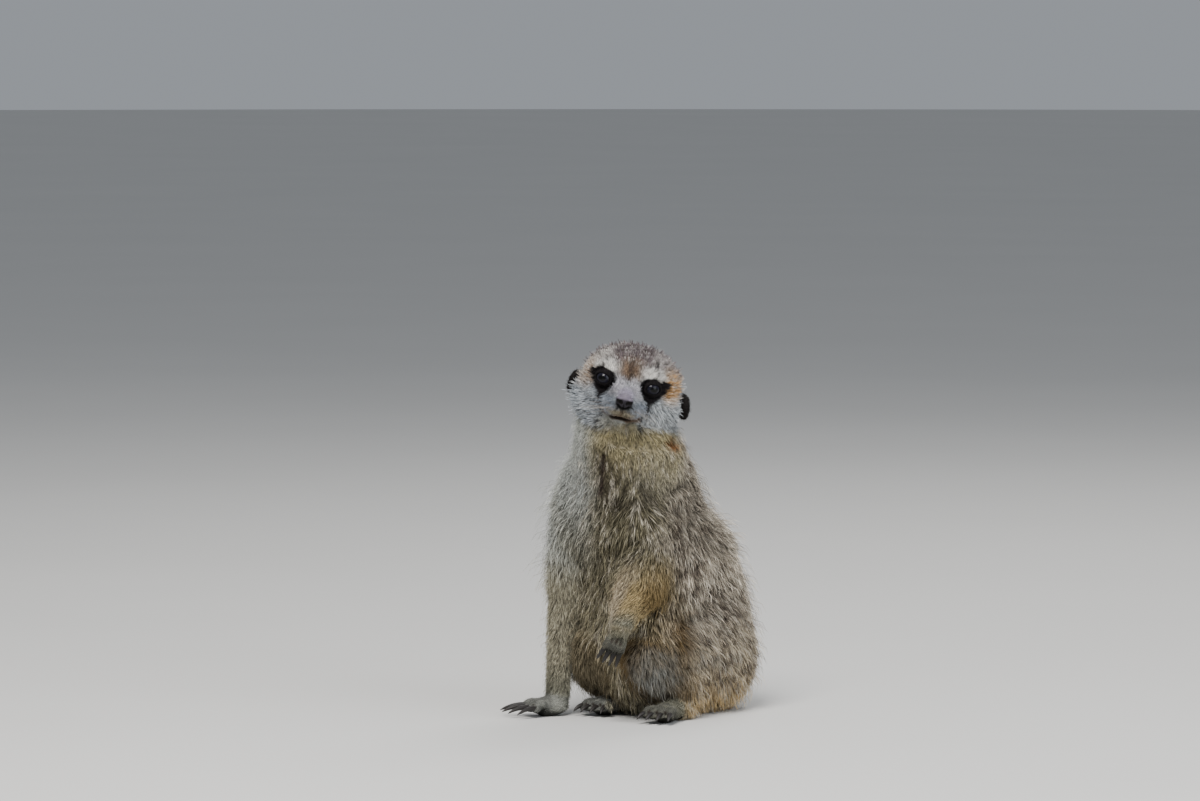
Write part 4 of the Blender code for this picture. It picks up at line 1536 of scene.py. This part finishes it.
class MeerkatPalette(bpy.types.PropertyGroup):
    """The colours of the coat."""

    frost: hue("Frost", "Pale tips all over the body", (0.76, 0.69, 0.57))
    # painted shade, grey brown, laid on the chest, under the chin and on the left flank
    painted_shade: hue("Dusk", "Grey brown shade of the chest", (0.05, 0.042, 0.03))
    chest: hue("Chest", "Grey-buff of the chest", (0.23, 0.205, 0.135))
    belly: hue("Belly", "Olive buff of the belly", (0.44, 0.39, 0.265))
    throat: hue("Throat", "Yellow-olive of the throat", (0.50, 0.43, 0.25))
    neck: hue("Neck", "Pale grey side of the neck", (0.58, 0.60, 0.57))
    flank: hue("Flank", "Grizzled cream of the back and flanks", (0.62, 0.54, 0.43))
    shoulder: hue("Shoulder", "Grey cream of the shoulders", (0.29, 0.25, 0.20))
    low_gold: hue("Low gold", "Bright gold low on the rump", (0.82, 0.60, 0.31))
    gold: hue("Gold", "Golden buff of the rump and thighs", (0.64, 0.54, 0.38))
    # dark brown of the back's bands, also painted shade along the chest crease and between the toes
    streak: hue("Streak", "Dark brown of the back's bands", (0.075, 0.055, 0.045))
    rust: hue("Rust", "The mark on the side of the neck", (0.22, 0.09, 0.03))
    thigh: hue("Thigh", "Golden brown of the thighs", (0.18, 0.118, 0.048))
    # brown on the front of the left leg, also painted shade on the front of the right thigh
    knee_and_shade: hue("Knee", "Brown of the knees", (0.22, 0.185, 0.12))
    shin: hue("Shin", "Silver grey of the shins", (0.29, 0.29, 0.265))
    arm: hue("Arm", "Pale cream of the right arm", (0.50, 0.46, 0.34))
    wrist: hue("Wrist", "Grey cream of the wrists", (0.31, 0.30, 0.23))
    forearm: hue("Forearm", "Gold of the raised forearm", (0.50, 0.385, 0.20))
    # painted shadow behind the raised forearm
    elbow_shadow: hue("Elbow", "Deep brown behind the raised forearm", (0.17, 0.11, 0.04))
    paw: hue("Paw", "Slate grey of the paws", (0.105, 0.105, 0.10))
    tail_tip: hue("Tail tip", "Near black of the tail's tip", (0.03, 0.022, 0.018))
    crown: hue("Crown", "Purple-grey of the crown", (0.185, 0.15, 0.157))
    cheek: hue("Cheek", "Silver white of the cheeks", (0.58, 0.61, 0.63))
    temple: hue("Temple", "Orange tan of the temples", (0.52, 0.31, 0.14))
    brow: hue("Brow", "White over the eyes", (0.85, 0.81, 0.75))
    bridge: hue("Bridge", "Bluish white of the bridge of the nose", (0.60, 0.58, 0.62))
    # grey of the lip pads, also laid as painted shade over the front of the right cheek
    muzzle: hue("Muzzle", "Grey of the lip pads", (0.35, 0.385, 0.44))
    between: hue("Between the eyes", "Tan between the brows", (0.20, 0.135, 0.09))
    nose_top: hue("Nose top", "Lilac grey over the nose", (0.42, 0.38, 0.47))
    mouth: hue("Mouth", "Dark brown of the mouth line", (0.17, 0.10, 0.06))
    lip: hue("Lip", "Olive of the lips", (0.36, 0.31, 0.21))
    chin: hue("Chin", "Pale grey of the chin", (0.44, 0.44, 0.39))
    eye_patch: hue("Eye patch", "Black round the eyes", (0.016, 0.013, 0.014))
    ear: hue("Ear", "Black of the ears", (0.018, 0.015, 0.014))


class MeerkatCoat(bpy.types.PropertyGroup):
    """How the coat grows."""

    density: amount("Density", "Share of the full coat", 1.0, min=0.05)
    length: amount("Length", "Length of the tufts to their own", 1.0)
    width: amount("Width", "Width of the tufts to their own", 1.0)
    lift: amount("Lift", "How far the tufts stand off", 1.0)
    clump: amount("Clump", "How far tips lean together", 0.55, min=0, max=1)


class MeerkatFace(bpy.types.PropertyGroup):
    """Eyes, nose, claws and whiskers."""

    # near-black iris, its blue tint a painted reflection of the sky
    iris: hue("Iris", "Deep brown of the iris", (0.010, 0.0095, 0.016))
    nose: hue("Nose", "Purple grey of the nose pad", (0.15, 0.13, 0.165))
    claw: hue("Claw", "Dark horn of the claws", (0.017, 0.015, 0.014))
    bulge: amount("Bulge", "Swell of the eye's clear front", 0.05)
    claw_width: amount("Claw width", "Width of the claws to their own", 1.2)
    whisker: amount("Whisker", "Longest whisker", 0.027, unit="LENGTH")


class MeerkatStage(bpy.types.PropertyGroup):
    """Floor and light."""

    floor: hue("Floor", "Pale floor and backdrop", (0.62, 0.61, 0.59))
    key: amount("Key light", "Power of the main light", 66.0, unit="POWER")
    sky: amount("Sky", "Strength of the light all round", 0.36)


class MeerkatSettings(bpy.types.PropertyGroup):
    """All of the meerkat's settings."""

    palette: bpy.props.PointerProperty(type=MeerkatPalette)
    coat: bpy.props.PointerProperty(type=MeerkatCoat)
    face: bpy.props.PointerProperty(type=MeerkatFace)
    stage: bpy.props.PointerProperty(type=MeerkatStage)


# Operators

HIDES = {}  # the hide that the skin's operator made, for the coat's
LARGEST = 199000  # triangles in one piece

REGIONS = {  # piece of coat: the parts of the skin that it grows on
    "coat_face": ("head", "ear"),
    "coat_crown": ("head", "ear"),
    "coat_neck": ("neck",),
    "coat_chest": ("trunk",),
    "coat_flank_left": ("trunk",),
    "coat_flank_right": ("trunk",),
    "coat_arms": ("upper_arm", "forearm"),
    "coat_thighs": ("thigh",),
    "coat_legs": ("shank", "forefoot", "hindfoot"),
    "coat_tail": ("tail",),
}
PALE = ("coat_face", "coat_crown", "coat_neck", "coat_chest")
CHEST_HALF = 42.0  # degrees
FACE_DEPTH = -9.0  # millimetres of the head's frame


def region_faces(hide, corners):
    """For each piece of coat, the triangles of skin under it."""
    first = corners[:, 0]
    angle = np.degrees(np.arctan2(hide.body[first, 0], -(hide.body[first, 1] - 5.0)))
    face = hide.head[first, 1] < FACE_DEPTH
    sides = {
        "coat_face": face,
        "coat_crown": ~face,
        "coat_chest": np.abs(angle) < CHEST_HALF,
        "coat_flank_left": angle >= CHEST_HALF,
        "coat_flank_right": angle <= -CHEST_HALF,
    }
    for name, parts in REGIONS.items():
        numbers = [PARTS.index(part) for part in parts]
        chosen = np.isin(hide.parts[first], numbers)
        yield name, chosen & sides.get(name, True)


def finished(obj, material, slot, nodes=()):
    """Dress a piece, ride it on the body and hide the solids that it stands for; the slot is not used."""
    if material is not None:
        obj.data.materials.clear()
        obj.data.materials.append(material)
    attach(obj, "root")
    if nodes:
        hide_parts(*nodes)


class MEERKAT_OT_skin(bpy.types.Operator):
    """Make the skin, with its face, paws and markings"""

    bl_idname = "meerkat.skin"
    bl_label = "Skin"

    def execute(self, context):
        palette = context.scene.meerkat.palette
        obj, net = build_skin()
        hide = HIDES["hide"] = Hide(net)
        tone = coat_colour(hide.body, hide.head, hide.share, palette)
        carry(obj.data, "tone", tone * (1 - 0.75 * hide.bare)[:, None])
        finished(obj, skin_finish(), "coat_pale", FLESH)
        return {"FINISHED"}


class MEERKAT_OT_coat(bpy.types.Operator):
    """Grow the coat over the skin, piece by piece"""

    bl_idname = "meerkat.coat"
    bl_label = "Coat"

    def execute(self, context):
        settings = context.scene.meerkat
        hide = HIDES["hide"]
        _, corners = mesh_arrays(hide.net.mesh)
        material = coat_finish()
        share = settings.coat.density * 1.0
        for seed, (name, chosen) in enumerate(region_faces(hide, corners)):
            numbers = np.flatnonzero(chosen)
            flat = flattened(hide, corners, numbers)
            sown = Sown(hide, corners, numbers, share, seed)
            mesh = tuft_mesh(name, hide, sown, settings.coat, settings.palette, flat)
            if len(mesh.polygons) > LARGEST:
                raise RuntimeError(f"{name} has {len(mesh.polygons)} triangles")
            finished(piece(name, mesh), material, "coat_pale" if name in PALE else "coat_back")
        return {"FINISHED"}


class MEERKAT_OT_eyes(bpy.types.Operator):
    """Make both eyes"""

    bl_idname = "meerkat.eyes"
    bl_label = "Eyes"

    def execute(self, context):
        settings = context.scene.meerkat.face
        material = eye_finish(settings)
        for letter, side in SIDES.items():
            eye = build_eye(side, "eyeball_" + letter, settings)
            finished(eye, material, "eye", ["eye_" + letter])
        return {"FINISHED"}


class MEERKAT_OT_nose(bpy.types.Operator):
    """Make the nose pad"""

    bl_idname = "meerkat.nose"
    bl_label = "Nose"

    def execute(self, context):
        finished(build_nose(), nose_finish(context.scene.meerkat.face), "nose_skin", ["nose"])
        return {"FINISHED"}


class MEERKAT_OT_claws(bpy.types.Operator):
    """Make the four claws of each paw"""

    bl_idname = "meerkat.claws"
    bl_label = "Claws"

    def execute(self, context):
        settings = context.scene.meerkat.face
        for name, claws in build_claws(horn_finish(settings), settings.claw_width):
            finished(claws, None, "claw_horn", [f"claw_{name}_{number + 1}" for number in range(TOES)])
        return {"FINISHED"}


class MEERKAT_OT_whiskers(bpy.types.Operator):
    """Make the whiskers"""

    bl_idname = "meerkat.whiskers"
    bl_label = "Whiskers"

    def execute(self, context):
        finished(build_whiskers(whisker_finish(), context.scene.meerkat.face), None, "coat_pale")
        return {"FINISHED"}


class MEERKAT_OT_stage(bpy.types.Operator):
    """Make the floor, lights and camera"""

    bl_idname = "meerkat.stage"
    bl_label = "Stage"

    def execute(self, context):
        build_stage(context.scene.meerkat.stage)
        return {"FINISHED"}


class MEERKAT_PT_panel(bpy.types.Panel):
    """Buttons for the meerkat's operators, and boxes of its settings"""

    bl_label = "Sitting meerkat"
    bl_idname = "MEERKAT_PT_panel"
    bl_space_type = "VIEW_3D"
    bl_region_type = "UI"
    bl_category = "Meerkat"

    def draw(self, context):
        settings = context.scene.meerkat
        for operator in OPERATORS:
            self.layout.operator(operator.bl_idname)
        for group in (settings.coat, settings.face, settings.stage, settings.palette):
            box = self.layout.box()
            for name in group.__annotations__:
                box.prop(group, name)


OPERATORS = (
    MEERKAT_OT_skin,
    MEERKAT_OT_coat,
    MEERKAT_OT_eyes,
    MEERKAT_OT_nose,
    MEERKAT_OT_claws,
    MEERKAT_OT_whiskers,
    MEERKAT_OT_stage,
)
GROUPS = (MeerkatPalette, MeerkatCoat, MeerkatFace, MeerkatStage, MeerkatSettings)
CLASSES = (*GROUPS, *OPERATORS, MEERKAT_PT_panel)


def register():
    for item in CLASSES:
        bpy.utils.register_class(item)
    bpy.types.Scene.meerkat = bpy.props.PointerProperty(type=MeerkatSettings)


def unregister():
    del bpy.types.Scene.meerkat
    for item in reversed(CLASSES):
        bpy.utils.unregister_class(item)


def main():
    register()
    bpy.ops.meerkat.skin()
    bpy.ops.meerkat.coat()
    bpy.ops.meerkat.eyes()
    bpy.ops.meerkat.nose()
    bpy.ops.meerkat.claws()
    bpy.ops.meerkat.whiskers()
    bpy.ops.meerkat.stage()


if __name__ == "__main__":
    main()
